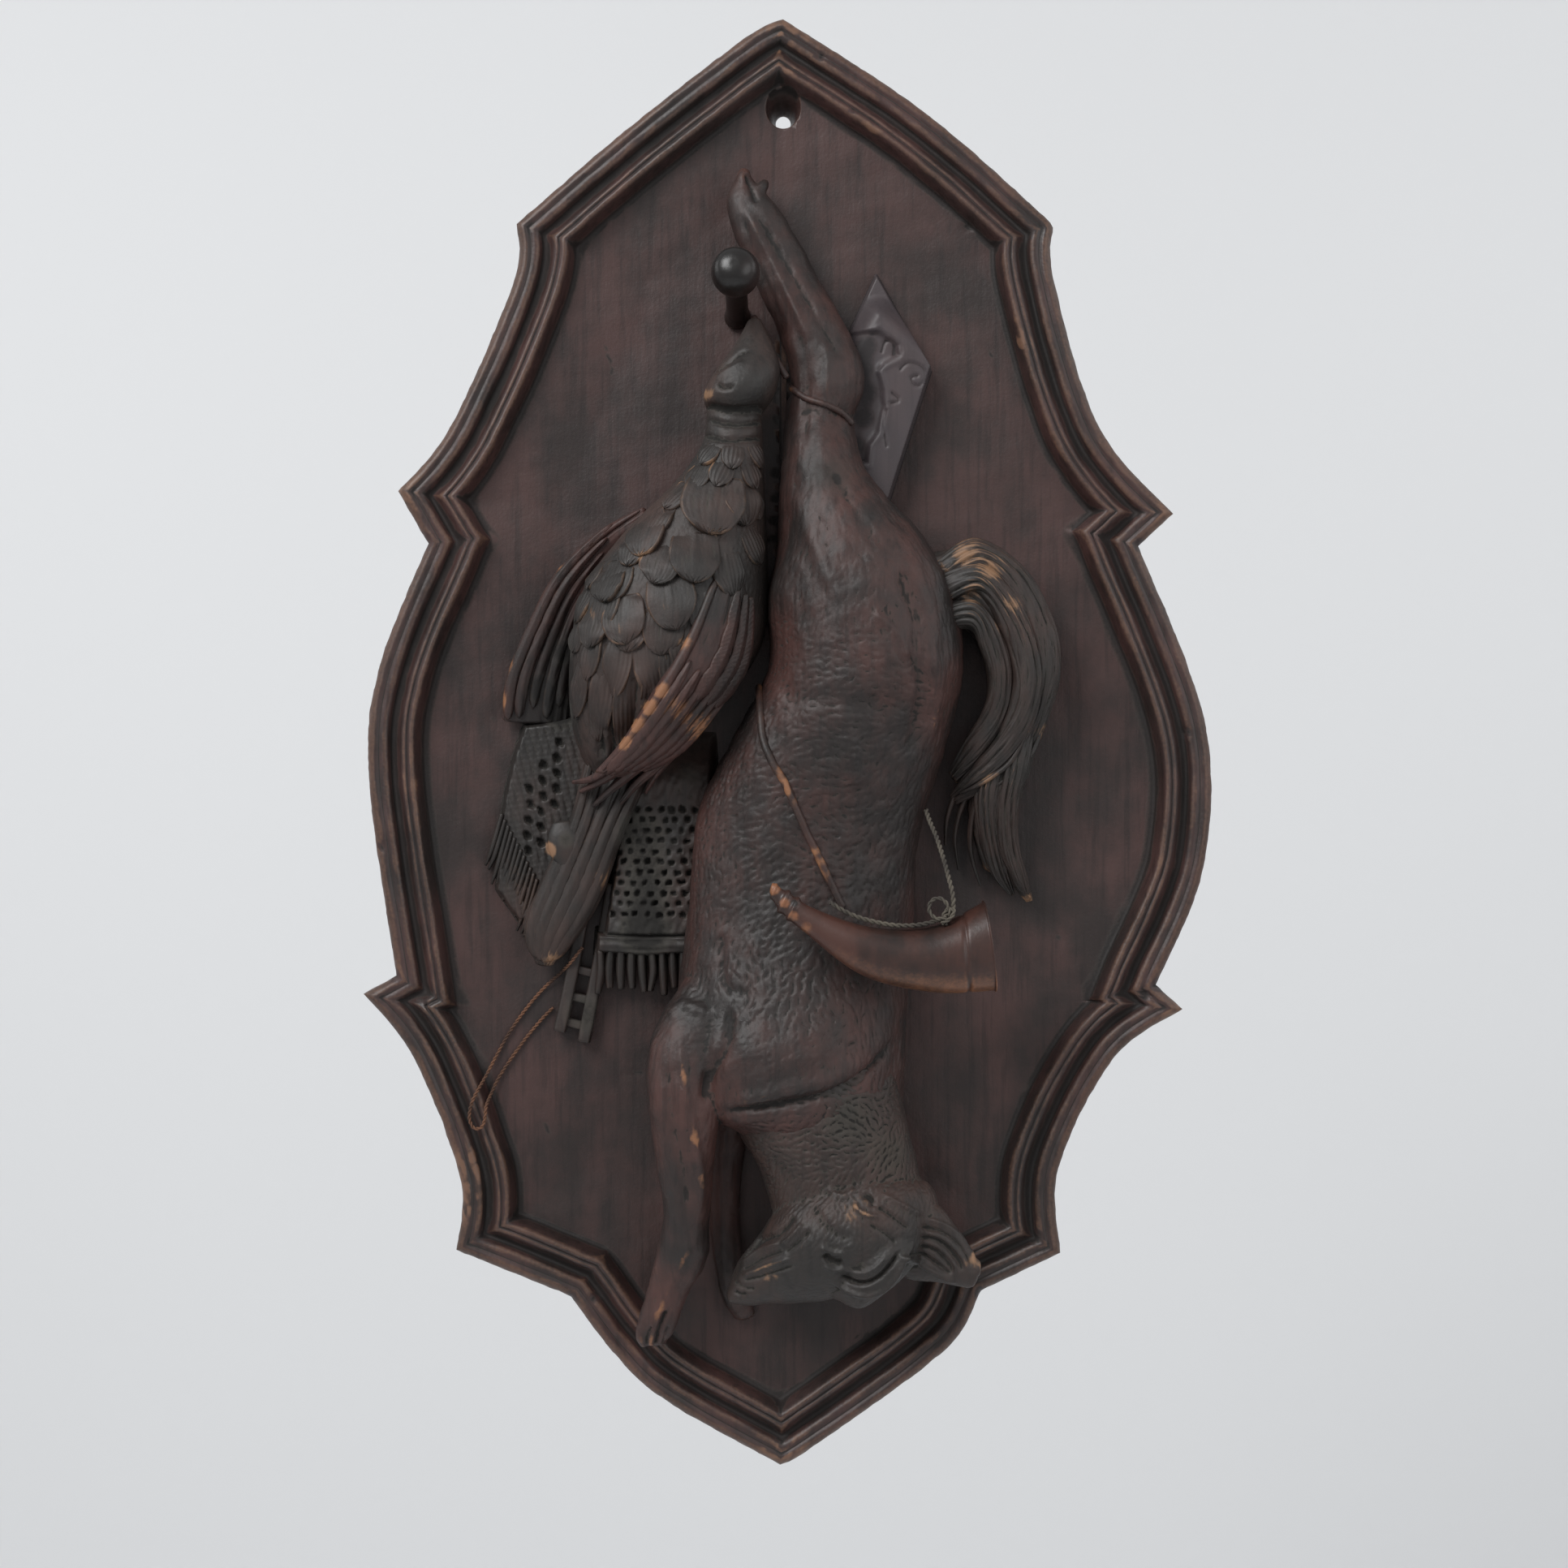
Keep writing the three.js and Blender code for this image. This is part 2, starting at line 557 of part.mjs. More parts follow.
// A square hole sunk from the front to a depth
function pit(x, z, half, floor) {
  const tall = FIELD_EDGE;
  const hole = new THREE.BoxGeometry(half * 2, tall, half * 1.7);
  hole.translate(x, -floor - tall / 2, z);
  return solid(hole);
}

// Columns of holes down the flap: [x, z of the top hole, depth of its floor, number]
const FLAP_COLUMNS = [[-81, -204, 13.5, 7], [-77, -198, 13.5, 5], [-72, -191, 13.5, 4]];
const NET_START = { x: -50, z: -216, floor: 18.5, rows: 6, columns: 4 };
const FRINGE_START = { x: -60.5, z: -254, count: 8 };
const FRAY_START = { x: -96.5, z: -236, count: 5 };

function netHoles() {
  const holes = FLAP_COLUMNS.flatMap(([x, z, floor, count]) => (
    Array.from({ length: count }, (_, k) => (
      pit(x + 0.12 * (k - 3) ** 2, z - FLAP_PITCH * k, FLAP_HOLE, floor)))));
  for (let row = 0; row < NET_START.rows; row++) {
    for (let i = 0; i < NET_START.columns; i++) {
      const x = NET_START.x - row * 0.5 + NET_PITCH[0] * (i + (row % 2) * 0.5);
      holes.push(pit(x, NET_START.z - NET_PITCH[1] * row, NET_HOLE, NET_START.floor));
    }
  }
  return join(holes);
}

// The fringe under the bag and the frayed threads at the flap's corner
function fringe() {
  const under = Array.from({ length: FRINGE_START.count }, (_, k) => {
    const { x: left, z } = FRINGE_START;
    const x = left + k * FRINGE_PITCH;
    const tip = [x + 0.4, z - 14, 14, 0.7, 1.2, 2];
    const spine = [[x, z, 17, 1.3, 2.5, 5], [x, z - 8, 15.5, 1.2, 2, 4], tip];
    return strand(spine, { sides: 4 });
  });
  const frayed = Array.from({ length: FRAY_START.count }, (_, k) => {
    const x = FRAY_START.x + k * 2.7;
    const z = FRAY_START.z - k * 3.9;
    const tip = [x - 1, z - 7, 11.5, 0.5, 1, 1];
    const spine = [[x + 2, z + 8, 12.5, 1.1, 1.6, 2], [x, z, 12, 1, 1.5, 2], tip];
    return strand(spine, { sides: 4 });
  });
  return [...under, ...frayed];
}

function gameBag() {
  const flap = slab(FLAP_OUTLINE, FIELD_FLOOR, 15.5);
  const body = limb(BAG_BODY, { sides: 12, square: 3 });
  const band = limb(BAG_BAND, { sides: 12, square: 5, tip: 0 });
  return join([flap, body]).subtract(netHoles()).add(join([band, ...fringe()]));
}

function gun() {
  const front = [...BUTT_FRONT, ...BUTT_BACK].map(p => at(...p));
  const behind = BUTT_BACK.map(([x, z]) => at(x, z, FIELD_FLOOR));
  const butt = solid(new ConvexGeometry([...front, ...behind]));
  const panel = slab(BUTT_PANEL, BUTT_PANEL_FLOOR, 2 * BUTT_PANEL_FLOOR);
  const barrels = BARRELS.map(route => solid(tube(route.map(p => at(...p)), BARREL_RADIUS, 2, 6)));
  const bridges = BARREL_BRIDGES.map(([x, z, depth]) => {
    const bridge = new THREE.BoxGeometry(5, 3, 2.6);
    bridge.translate(...at(x, z, depth));
    return solid(bridge);
  });
  return join([butt.subtract(panel), ...barrels, ...bridges]);
}

function trophy() {
  return join([fox(), bird(), gameBag(), gun()]).subtract(boardForm(CLEARANCE, -INNER_BEAD));
}

// The horn: mouthpiece at the left, bell at the right. Each section runs from its upper to its lower edge.
const HORN = [
  [-3, -237.5, 60, -4, -241, 60, 1.9, 1.9],
  [1.5, -240.5, 60, -1, -246, 60, 2.6, 2.6],
  [10.5, -244.5, 60, 7, -253, 60, 4.5, 4.5],
  [27.5, -249.5, 59, 24, -265.5, 58.5, 8, 8],
  [46, -249.5, 56, 46, -271, 55.5, 10.6, 10.6],
  [62, -243, 53, 65.5, -270.5, 52.5, 13, 13],
];

const HORN_MOUTH = { half: [3.4, 10.6, 11.6], turn: 0.12, centre: [64.4, -256.7, 52.7] };
const TURNED = { sides: 12, square: 2, tip: 0 };

// A raised ring round the horn between two places along it
function hornRing(from, to, proud) {
  return limb([from, to].map(s => {
    const [x1, z1, d1, x2, z2, d2, front, back] = between(HORN, s);
    const grow = proud / Math.hypot(x2 - x1, z2 - z1);
    const [dx, dz] = [(x2 - x1) * grow, (z2 - z1) * grow];
    return [x1 - dx, z1 - dz, d1, x2 + dx, z2 + dz, d2, front + proud, back + proud];
  }), TURNED);
}

function horn() {
  const mouth = new THREE.SphereGeometry(1, 12, 6);
  mouth.scale(...HORN_MOUTH.half);
  mouth.rotateY(HORN_MOUTH.turn);
  mouth.translate(...at(...HORN_MOUTH.centre));
  return join([limb(HORN, { ...TURNED, rings: 2 }), hornRing(1.1, 1.4, 0.9), hornRing(4.55, 4.67, 0.7)])
    .subtract(solid(mouth));
}

const KNOB_FOOT = [-15, -53.5, FIELD_FLOOR + 1.3];

// The knob and its peg, turned as one and leaning up a little
function pegKnob() {
  const rise = Math.asin(PEG_RADIUS / KNOB_RADIUS);
  const centre = PEG_LENGTH + KNOB_RADIUS * Math.cos(rise);
  const arc = 7;
  const outline = [[0, 0], [PEG_RADIUS + 0.8, 0], [PEG_RADIUS, 6], [PEG_RADIUS, PEG_LENGTH]];
  for (let k = 1; k <= arc; k++) {
    const angle = mix(Math.PI - rise, 0, k / arc);
    outline.push([k === arc ? 0 : KNOB_RADIUS * Math.sin(angle), centre + KNOB_RADIUS * Math.cos(angle)]);
  }
  const turned = new THREE.LatheGeometry(outline.map(([r, h]) => new THREE.Vector2(r, h)), 12);
  turned.rotateX(Math.PI - KNOB_LEAN);
  return turned;
}

// Routes of the two strings, measured along their middles
const HORN_STRING = [
  [45.6, -215.4, 33.4], [46.6, -219, 37.2], [48.4, -224, 42.5], [50, -230, 48.5], [51.3, -236, 54],
  [52.3, -241, 57.5], [52, -244.6, 59], [49.4, -246.6, 59.3], [45, -247.8, 59.6], [40, -248.6, 60],
  [34, -248.5, 60.5], [28, -247.4, 61.2], [22, -245.8, 61.8], [17.5, -244, 62.2], [14.5, -242.5, 62],
];
const GUN_STRING = [
  [-65.5, -260.5, 17.7], [-69.3, -265.3, 17.7], [-73.5, -269.5, 13], [-78.5, -274, 10.7],
  [-84, -280.3, 10.7], [-89.5, -288, 11.2], [-94, -296, 11.9], [-97.2, -302.5, 14.2],
  [-99.4, -306.8, 18.6], [-100.6, -309.6, 19.4], [-101.6, -313, 19.2], [-101.4, -317.6, 19],
  [-99.2, -319.2, 19.1], [-97.6, -315.8, 19.4],
  [-96.7, -311.8, 18.7], [-95.4, -308, 14.1], [-93.4, -303.6, 12.2], [-89.5, -297.5, 11.5],
  [-84.5, -290.5, 10.9], [-79, -284, 10.6], [-75.8, -280.8, 10.6],
];

const WOOD = new THREE.MeshStandardMaterial({ name: 'stained_board', color: 0x3a2620, roughness: 0.5 });
const CARVED = new THREE.MeshStandardMaterial(
  { name: 'stained_carving', color: 0x372821, roughness: 0.48 },
);
const HORN_WOOD = new THREE.MeshStandardMaterial(
  { name: 'polished_horn', color: 0x5a3020, roughness: 0.35 },
);
const KNOB_WOOD = new THREE.MeshStandardMaterial({ name: 'turned_knob', color: 0x2c2320, roughness: 0.35 });
const TWINE = new THREE.MeshStandardMaterial({ name: 'twine', color: 0x6f6252, roughness: 0.9 });

const plaque = new THREE.Group();

function addPiece(name, geometry, material) {
  const mesh = new THREE.Mesh(geometry, material);
  mesh.name = name;
  plaque.add(mesh);
  return mesh;
}

addPiece('shield_board', outerShell(board()), WOOD);
addPiece('game_trophy', outerShell(trophy()), CARVED);
addPiece('hunting_horn', outerShell(horn()), HORN_WOOD);
const knob = addPiece('peg_knob', pegKnob(), KNOB_WOOD);
knob.position.copy(at(...KNOB_FOOT));
addPiece('horn_string', tube(HORN_STRING.map(p => at(...p)), STRING_DIAMETER / 2, STRING_STEPS), TWINE);
addPiece('gun_string', tube(GUN_STRING.map(p => at(...p)), THREAD_DIAMETER / 2, THREAD_STEPS), TWINE);

export default plaque;
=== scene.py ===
# %% [markdown]
# # A carved game plaque
# The real object is a shield-shaped board with a moulded rim. A trophy in high relief is fixed to its
# field: a fox that hangs by a hind leg, a game bird, a gun, a game bag and a small horn, all cut by hand
# in dark stained wood. The packed model gives the plain forms and their places. This lesson loads it as a
# fixed frame and builds each piece again with the fine carving that a plain solid leaves out.

import math

import bpy
import numpy as np
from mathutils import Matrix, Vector
from mathutils.bvhtree import BVHTree
from mathutils.kdtree import KDTree


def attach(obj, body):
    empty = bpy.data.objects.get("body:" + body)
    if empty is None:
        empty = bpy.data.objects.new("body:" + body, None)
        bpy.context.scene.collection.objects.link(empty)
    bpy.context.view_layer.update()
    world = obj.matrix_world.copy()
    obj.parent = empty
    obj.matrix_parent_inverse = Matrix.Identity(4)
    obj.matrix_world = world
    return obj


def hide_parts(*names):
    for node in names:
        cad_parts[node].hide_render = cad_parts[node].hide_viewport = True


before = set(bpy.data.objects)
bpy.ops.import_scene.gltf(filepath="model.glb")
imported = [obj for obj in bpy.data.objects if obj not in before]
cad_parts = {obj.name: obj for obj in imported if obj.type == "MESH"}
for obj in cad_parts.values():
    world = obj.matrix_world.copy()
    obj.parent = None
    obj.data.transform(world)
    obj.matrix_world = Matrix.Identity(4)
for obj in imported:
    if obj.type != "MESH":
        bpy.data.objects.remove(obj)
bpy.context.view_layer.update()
METRES = 0.001                    # the lesson works in millimetres
print("frame nodes:", sorted(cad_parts))

# %% [markdown]
# ## The camera
# A photograph of a flat plaque is taken square on, from not far away, so that the high parts of the
# relief look a little larger than the board. A camera 750 mm in front of the rim, at the middle of the
# picture, gives the same view. It is made first, because everything is judged through it.

# %% Camera
VIEW_POINT = (0.27, -765.0, -207.1)
LENS = 52.63

camera_data = bpy.data.cameras.new("square_on")
camera_data.lens = LENS
camera_data.sensor_width = 36
camera = bpy.data.objects.new("square_on", camera_data)
camera.location = [v * METRES for v in VIEW_POINT]
camera.rotation_euler = (math.pi / 2, 0, 0)
bpy.context.scene.collection.objects.link(camera)
bpy.context.scene.camera = camera
print("camera at", VIEW_POINT, "mm, lens", LENS, "mm")

# %% [markdown]
# ## Curves through a few rows
# A carver thinks in sections: how wide and how deep a limb is here, and a little further on. So every
# form in this lesson is a short list of rows, and `between` gives the smooth values in between (a
# Catmull-Rom spline). Depth is the height above the back of the board, and `at` turns x, z and depth into
# a point.

# %% Points and smooth rows
def at(x, z, depth):
    """Points from x, z and the depth, which is the height above the back of the board."""
    x, z, depth = np.broadcast_arrays(np.asarray(x, float), z, depth)
    return np.stack([x, -depth, z], -1)


def between(rows, s):
    """The smooth values at row number s, which may lie between two rows."""
    rows, s = np.asarray(rows, float), np.asarray(s, float)
    last = len(rows) - 1
    i = np.clip(np.floor(s).astype(int), 0, last - 1)
    t = (s - i)[..., None]
    a, b, d, e = (rows[np.clip(i + k, 0, last)] for k in (-1, 0, 1, 2))
    return b + 0.5 * t * (d - a + t * (2 * a - 5 * b + 4 * d - e + t * (3 * (b - d) + e - a)))


def unit(vectors):
    return vectors / np.maximum(np.linalg.norm(vectors, axis=-1, keepdims=True), 1e-9)


def run_length(points):
    """The distance of each point from the first one, along the line."""
    steps = np.linalg.norm(np.diff(points, axis=0), axis=1)
    return np.concatenate([[0], np.cumsum(steps)])


def evenly(points, pitch):
    """Points at an even spacing on the smooth curve through a few points."""
    fine = between(points, np.linspace(0, len(points) - 1, 30 * len(points)))
    along = run_length(fine)
    places = np.linspace(0, along[-1], max(2, round(along[-1] / pitch)) + 1)
    return np.stack([np.interp(places, along, fine[:, c]) for c in range(fine.shape[1])], -1)


WAVE_COUNT = 7
WAVE_REACH = 4.2                  # the sum of seven waves seldom passes this


def waves(points, size, seed):
    """Smooth random heights from -1 to 1 that change over about `size` millimetres."""
    rng = np.random.default_rng(seed)
    total = 0
    for _ in range(WAVE_COUNT):
        way = unit(rng.normal(size=points.shape[-1]))
        turns = points @ way * (2 * math.pi / (size * rng.uniform(0.7, 1.6)))
        total = total + np.sin(turns + rng.uniform(0, 6.3))
    return total / WAVE_REACH


def step(low, high, value):
    """0 up to the low value, 1 from the high one, smooth in between."""
    t = np.clip((value - low) / (high - low), 0, 1)
    return t * t * (3 - 2 * t)


print("a quarter of the way between two rows:", between([[0.0], [1.0]], [0.25])[0])

# %% [markdown]
# ## Closed skins
# A form is a list of rings that follow each other, like the hoops of a barrel, joined by four-sided
# faces. Each end is closed by its own middle point, so the result always holds water. A form is kept as
# three arrays: its points, its quads and its triangles.

# %% Skins
def facing_out(points, quads, tris):
    """Turns all faces round if they point inwards."""
    corners = [points[quads[:, k]] for k in range(4)]
    volume = np.einsum("ij,ij->", corners[0], np.cross(corners[1], corners[2]))
    volume += np.einsum("ij,ij->", corners[0], np.cross(corners[2], corners[3]))
    if len(tris):
        a, b, c = (points[tris[:, k]] for k in range(3))
        volume += np.einsum("ij,ij->", a, np.cross(b, c))
    return (points, quads, tris) if volume > 0 else (points, quads[:, ::-1], tris[:, ::-1])


def skin(rings, start, end):
    """Rings joined by quads and closed at both ends by a fan of triangles to a point."""
    count, sides = rings.shape[:2]
    points = np.concatenate([rings.reshape(-1, 3), [start, end]])
    k = np.arange(sides)
    beside = (k + 1) % sides
    base = np.arange(count - 1)[:, None] * sides
    quads = np.stack([base + k, base + beside, base + sides + beside, base + sides + k], -1).reshape(-1, 4)
    last = (count - 1) * sides
    first_cap = np.stack([np.full(sides, count * sides), beside, k], -1)
    last_cap = np.stack([np.full(sides, count * sides + 1), last + k, last + beside], -1)
    return facing_out(points, quads, np.concatenate([first_cap, last_cap]))


def join_forms(forms):
    points, quads, tris, count = [], [], [], 0
    for form_points, form_quads, form_tris in forms:
        points.append(form_points)
        quads.append(form_quads.reshape(-1, 4) + count)
        tris.append(form_tris.reshape(-1, 3) + count)
        count += len(form_points)
    return np.concatenate(points), np.concatenate(quads), np.concatenate(tris)

# %% [markdown]
# ## Limbs
# A section of a limb runs from one edge of the form to the other as seen from the front, with its swell
# towards the viewer and towards the board. A strand is the same thing given along its middle line. The
# `relief` function cuts the surface while it is made: it gets the distance along the limb and the angle
# round it.

# %% Limbs
ROUNDNESS = 2.2                   # 2 is an ellipse, more is squarer


def section_point(section, angle, square=ROUNDNESS):
    """The place on a section at an angle round it. Half a turn covers the front."""
    x1, z1, d1, x2, z2, d2, front, back = np.moveaxis(np.asarray(section, float), -1, 0)
    middle = at((x1 + x2) / 2, (z1 + z2) / 2, (d1 + d2) / 2)
    across = at(x2, z2, d2) - middle
    toward = at(0, 0, 1)
    out = unit(toward - across * ((across @ toward) / (across ** 2).sum(-1))[..., None])
    c, s = np.cos(angle), np.sin(angle)
    wide = np.sign(c) * np.abs(c) ** (2 / square)
    high = np.sign(s) * np.abs(s) ** (2 / square) * np.where(s > 0, front, back)
    return middle + across * wide[..., None] + out * high[..., None]


def grid_normals(rings):
    down = np.gradient(rings, axis=0)
    beside = np.roll(rings, -1, 1) - np.roll(rings, 1, 1)
    normals = unit(np.cross(down, beside))
    outward = np.sign(((rings - rings.mean(1, keepdims=True)) * normals).sum())
    return normals * outward


def dome(ring, inner, tip):
    """The rings and the point that close a limb's end with a round cap."""
    middle = ring.mean(0)
    way = unit(middle - inner.mean(0))
    reach = tip * min(np.linalg.norm(middle - ring[0]), np.linalg.norm(middle - ring[len(ring) // 4]))
    turns = np.radians([25, 50, 72])
    rings = [middle + (ring - middle) * math.cos(a) + way * reach * math.sin(a) for a in turns]
    return np.array(rings), middle + way * reach


def capped(rings, tip):
    head, first = dome(rings[0], rings[1], tip)
    foot, last = dome(rings[-1], rings[-2], tip)
    return skin(np.concatenate([head[::-1], rings, foot]), first, last)


def loft(sections, pitch=1.0, sides=48, square=ROUNDNESS, tip=0.45, relief=None):
    """A closed limb through its sections, with a ring about every `pitch` millimetres."""
    sections = np.array(sections, float)
    fine = np.linspace(0, len(sections) - 1, 40 * len(sections))
    rows = between(sections, fine)
    along = run_length((rows[:, :3] + rows[:, 3:6]) / 2)
    count = max(3, int(along[-1] / pitch))
    places = np.linspace(0, along[-1], count + 1)
    angles = 2 * math.pi * (np.arange(sides) + 0.5) / sides
    rows = between(sections, np.interp(places, along, fine))
    rings = section_point(rows[:, None], angles[None], square)
    if relief is not None:
        rings = rings + grid_normals(rings) * relief(places[:, None], angles[None])[..., None]
    return capped(rings, tip)


def strand_sections(spine):
    """Sections from rows of x, z, depth, half width, front and back."""
    spine = np.array(spine, float)
    run = unit(np.gradient(spine[:, :2], axis=0)) * spine[:, 3:4]
    side = np.stack([-run[:, 1], run[:, 0]], -1)
    depth = spine[:, 2:3]
    return np.concatenate([spine[:, :2] + side, depth, spine[:, :2] - side, depth, spine[:, 4:6]], 1)


def strand(spine, **options):
    return loft(strand_sections(spine), **options)


def tube(points, radius, sides=12, tip=0.6):
    """A round tube along points that are already close together. The radius may change along it."""
    radius = np.broadcast_to(np.asarray(radius, float), (len(points),))
    run = unit(np.gradient(points, axis=0))
    up = np.array([0.0, -1.0, 0.0])
    rings, side = [], np.cross(run[0], up)
    for p, r, way in zip(points, radius, run):
        side = unit(side - way * (side @ way))
        other = np.cross(way, side)
        turn = 2 * math.pi * np.arange(sides)[:, None] / sides
        rings.append(p + r * (np.cos(turn) * side + np.sin(turn) * other))
    rings = np.array(rings)
    return capped(rings, tip)


TEST_LIMB = [[-5, 0, 9, 5, 0, 9, 4, 4], [-5, -20, 9, 5, -20, 9, 4, 4]]
print("a plain limb of 20 mm has", len(loft(TEST_LIMB)[0]), "points")

# %% [markdown]
# ## Shader maths
# `Wire` wraps the socket of a shader node, so that `1 - grain * 0.3` can be written as it is read. Each
# operator adds the Math node that does it. Colours never go through Math, which would turn them grey:
# they are mixed with `blend`. Every other node comes from `Finish.node`.

# %% Wires and finishes
class Wire:
    def __init__(self, finish, socket):
        self.finish, self.socket = finish, socket

    def _maths(self, operation, first, second):
        return self.finish.node("Math", {"operation": operation}, {0: first, 1: second})

    def __add__(self, other):
        return self._maths("ADD", self, other)

    def __sub__(self, other):
        return self._maths("SUBTRACT", self, other)

    def __mul__(self, other):
        return self._maths("MULTIPLY", self, other)

    def __rsub__(self, other):
        return self._maths("SUBTRACT", other, self)

    __radd__ = __add__
    __rmul__ = __mul__


class Finish:
    def __init__(self, name):
        self.material = bpy.data.materials.new(name)
        self.material.use_nodes = True
        self.tree = self.material.node_tree
        self.surface = self.tree.nodes["Principled BSDF"]

    def put(self, socket, value):
        """Links a wire to the socket, or sets a plain value on it."""
        if isinstance(value, Wire):
            self.tree.links.new(value.socket, socket)
        else:
            socket.default_value = value

    def node(self, kind, settings=None, values=None, output=0):
        """A node with its settings, its values or links, and a wire from one of its outputs."""
        made = self.tree.nodes.new("ShaderNode" + kind)
        for name, value in (settings or {}).items():
            if name == "stops":
                ramp = made.color_ramp.elements
                for place, colour in value[1:-1]:
                    ramp.new(place)
                for element, (place, colour) in zip(ramp, value):
                    element.position, element.color = place, colour
            else:
                setattr(made, name, value)
        for name, value in (values or {}).items():
            self.put(made.inputs[name], value)
        return Wire(self, made.outputs[output])

    def blend(self, mask, first, second):
        """The first colour where the mask is 0, the second where it is 1."""
        return self.node("Mix", {"data_type": "RGBA"}, {0: mask, 6: first, 7: second}, output=2)

    def place(self, stretch=(1, 1, 1)):
        spot = self.node("TexCoord", output=3)
        return self.node("Mapping", None, {"Vector": spot, "Scale": stretch})

    def cloud(self, size, stretch=(1, 1, 1), detail=4.0, rough=0.55):
        """Soft noise from 0 to 1. The size is in millimetres."""
        return self.node("TexNoise", None, {"Vector": self.place(stretch), "Scale": 1000 / size,
                                            "Detail": detail, "Roughness": rough})

    def ramp(self, value, low, high):
        """0 below the low value, 1 above the high one, smooth in between."""
        return self.node("MapRange", {"interpolation_type": "SMOOTHSTEP"},
                         {"Value": value, "From Min": low, "From Max": high})

    def mesh_mask(self, name):
        return self.node("Attribute", {"attribute_name": name}, output=2)


print("operators on a wire:", [name for name in vars(Wire) if name.startswith("__r") or name == "__add__"])

# %% [markdown]
# ## Stained and waxed wood
# The wood was stained nearly black-brown and waxed. Red shows through where the stain is thin, the crests
# are rubbed down to orange wood, and grey dust sits in the hollows, which are also painted darker as
# painted shade. Two masks on each mesh, one for the worn crests and one for dust and painted shade, say
# where its crests and hollows are. The finish mixes its colours by them, broken up by noise, so that no
# edge is worn evenly. One recipe gives all six woods: the board, the waxed carving, the parts that kept
# their dust, the butt of the gun, paler with a lilac-grey tone that is partly a painted sheen, the horn and
# the knob.

# %% The wood finish
def colour(red, green, blue):
    """A display colour from 0 to 255 as the linear one that the shader needs."""
    channels = [c / 255 for c in (red, green, blue)]
    return tuple(c / 12.92 if c <= 0.04045 else ((c + 0.055) / 1.055) ** 2.4 for c in channels) + (1.0,)


def darker(tone, share):
    return [c * share for c in tone[:3]] + [1.0]


def stained_wood(name, dark, red, worn, dust, dull, dusty=1.0, grain=1.0, thin_from=0.40):
    """A stained wood. `dull` is its roughness, and the stain is thin where the clouds pass `thin_from`."""
    f = Finish(name)
    fibres = f.cloud(2.4, (1, 1, 0.06), detail=5, rough=0.6)
    streaks = f.cloud(11, (1, 1, 0.3), detail=3)
    patches = f.cloud(30, (1, 1, 0.8), detail=5, rough=0.6)
    specks = f.cloud(1.1, detail=2)
    thin = f.ramp(patches * 0.75 + streaks * 0.25, thin_from, thin_from + 0.26)
    tone = f.blend(thin, dark, red)
    deep = f.ramp(fibres, 0.34, 0.52)
    tone = f.blend((1 - deep) * (0.4 * grain), tone, darker(dark, 0.35))
    hollow = f.mesh_mask("hollow")
    settled = f.ramp(hollow * (0.55 + patches * 0.9), 0.2, 0.6) * dusty
    tone = f.blend(settled * 0.35, tone, dust)
    # painted shade: the hollows, and the places of spots below zero, are painted darker
    shade = f.ramp(hollow * (0.7 + specks * 0.6), 0.35, 0.95)
    tone = f.blend(shade * 0.8, tone, darker(dark, 0.25))
    edge = f.mesh_mask("worn")
    rubbed = f.ramp(edge * (0.5 + streaks * 0.5 + specks * 0.6), 0.40, 1.0)
    tone = f.blend(rubbed, tone, worn)
    f.put(f.surface.inputs["Base Color"], tone)
    rough = dull + (patches - 0.5) * 0.25 + settled * 0.22 + specks * 0.08 - 0.04
    f.put(f.surface.inputs["Roughness"], rough)
    height = fibres * 0.5 + specks * 0.45 + streaks * 0.4
    bump = f.node("Bump", None, {"Strength": 0.32 * grain, "Distance": 0.0006, "Height": height})
    f.put(f.surface.inputs["Normal"], bump)
    f.surface.inputs["Specular IOR Level"].default_value = 0.42
    return f.material


# %% Six woods
BOARD_WOOD = stained_wood(
    "board_wood", dark=(0.0205, 0.0138, 0.0125, 1), red=(0.052, 0.0255, 0.0225, 1),
    worn=(0.135, 0.073, 0.047, 1), dust=(0.036, 0.031, 0.026, 1), dull=0.46, thin_from=0.36)
CARVED_WOOD = stained_wood(
    "carved_wood", dark=(0.0155, 0.0118, 0.0108, 1), red=(0.058, 0.0250, 0.0205, 1),
    worn=(0.22, 0.100, 0.048, 1), dust=(0.040, 0.037, 0.031, 1), dull=0.55, thin_from=0.38)
DUSTY_WOOD = stained_wood(
    "dusty_wood", dark=(0.0170, 0.0145, 0.0130, 1), red=(0.042, 0.0245, 0.0200, 1),
    worn=(0.20, 0.112, 0.062, 1), dust=(0.062, 0.058, 0.049, 1), dull=0.56, dusty=1.6)
# The butt is pale lilac grey, partly a paler finish of its own and partly a painted sheen. Its dust colour is
# a dark red that also paints shade into the sunk panel.
BUTT_WOOD = stained_wood(
    "butt_wood", dark=(0.043, 0.0355, 0.0385, 1), red=(0.060, 0.043, 0.044, 1),
    worn=(0.16, 0.10, 0.08, 1), dust=(0.034, 0.020, 0.018, 1), dull=0.5, grain=0.5, thin_from=0.42)
HORN_WOOD = stained_wood(
    "horn_wood", dark=(0.015, 0.0108, 0.0095, 1), red=(0.058, 0.0240, 0.0175, 1),
    worn=(0.20, 0.085, 0.042, 1), dust=(0.036, 0.033, 0.028, 1), dull=0.40, dusty=0.5, grain=0.5,
    thin_from=0.33)
KNOB_WOOD = stained_wood(
    "knob_wood", dark=(0.008, 0.0068, 0.0062, 1), red=(0.020, 0.011, 0.0095, 1),
    worn=(0.07, 0.04, 0.026, 1), dust=(0.036, 0.034, 0.030, 1), dull=0.33, dusty=0.6, grain=0.4)
print("finishes:", [made.name for made in bpy.data.materials])

# %% [markdown]
# ## Twine
# The two strings are real: old cotton twine, matt and dusty, paler where it is rubbed. Their twist is
# modelled, so the finish only adds fuzz and uneven dirt.

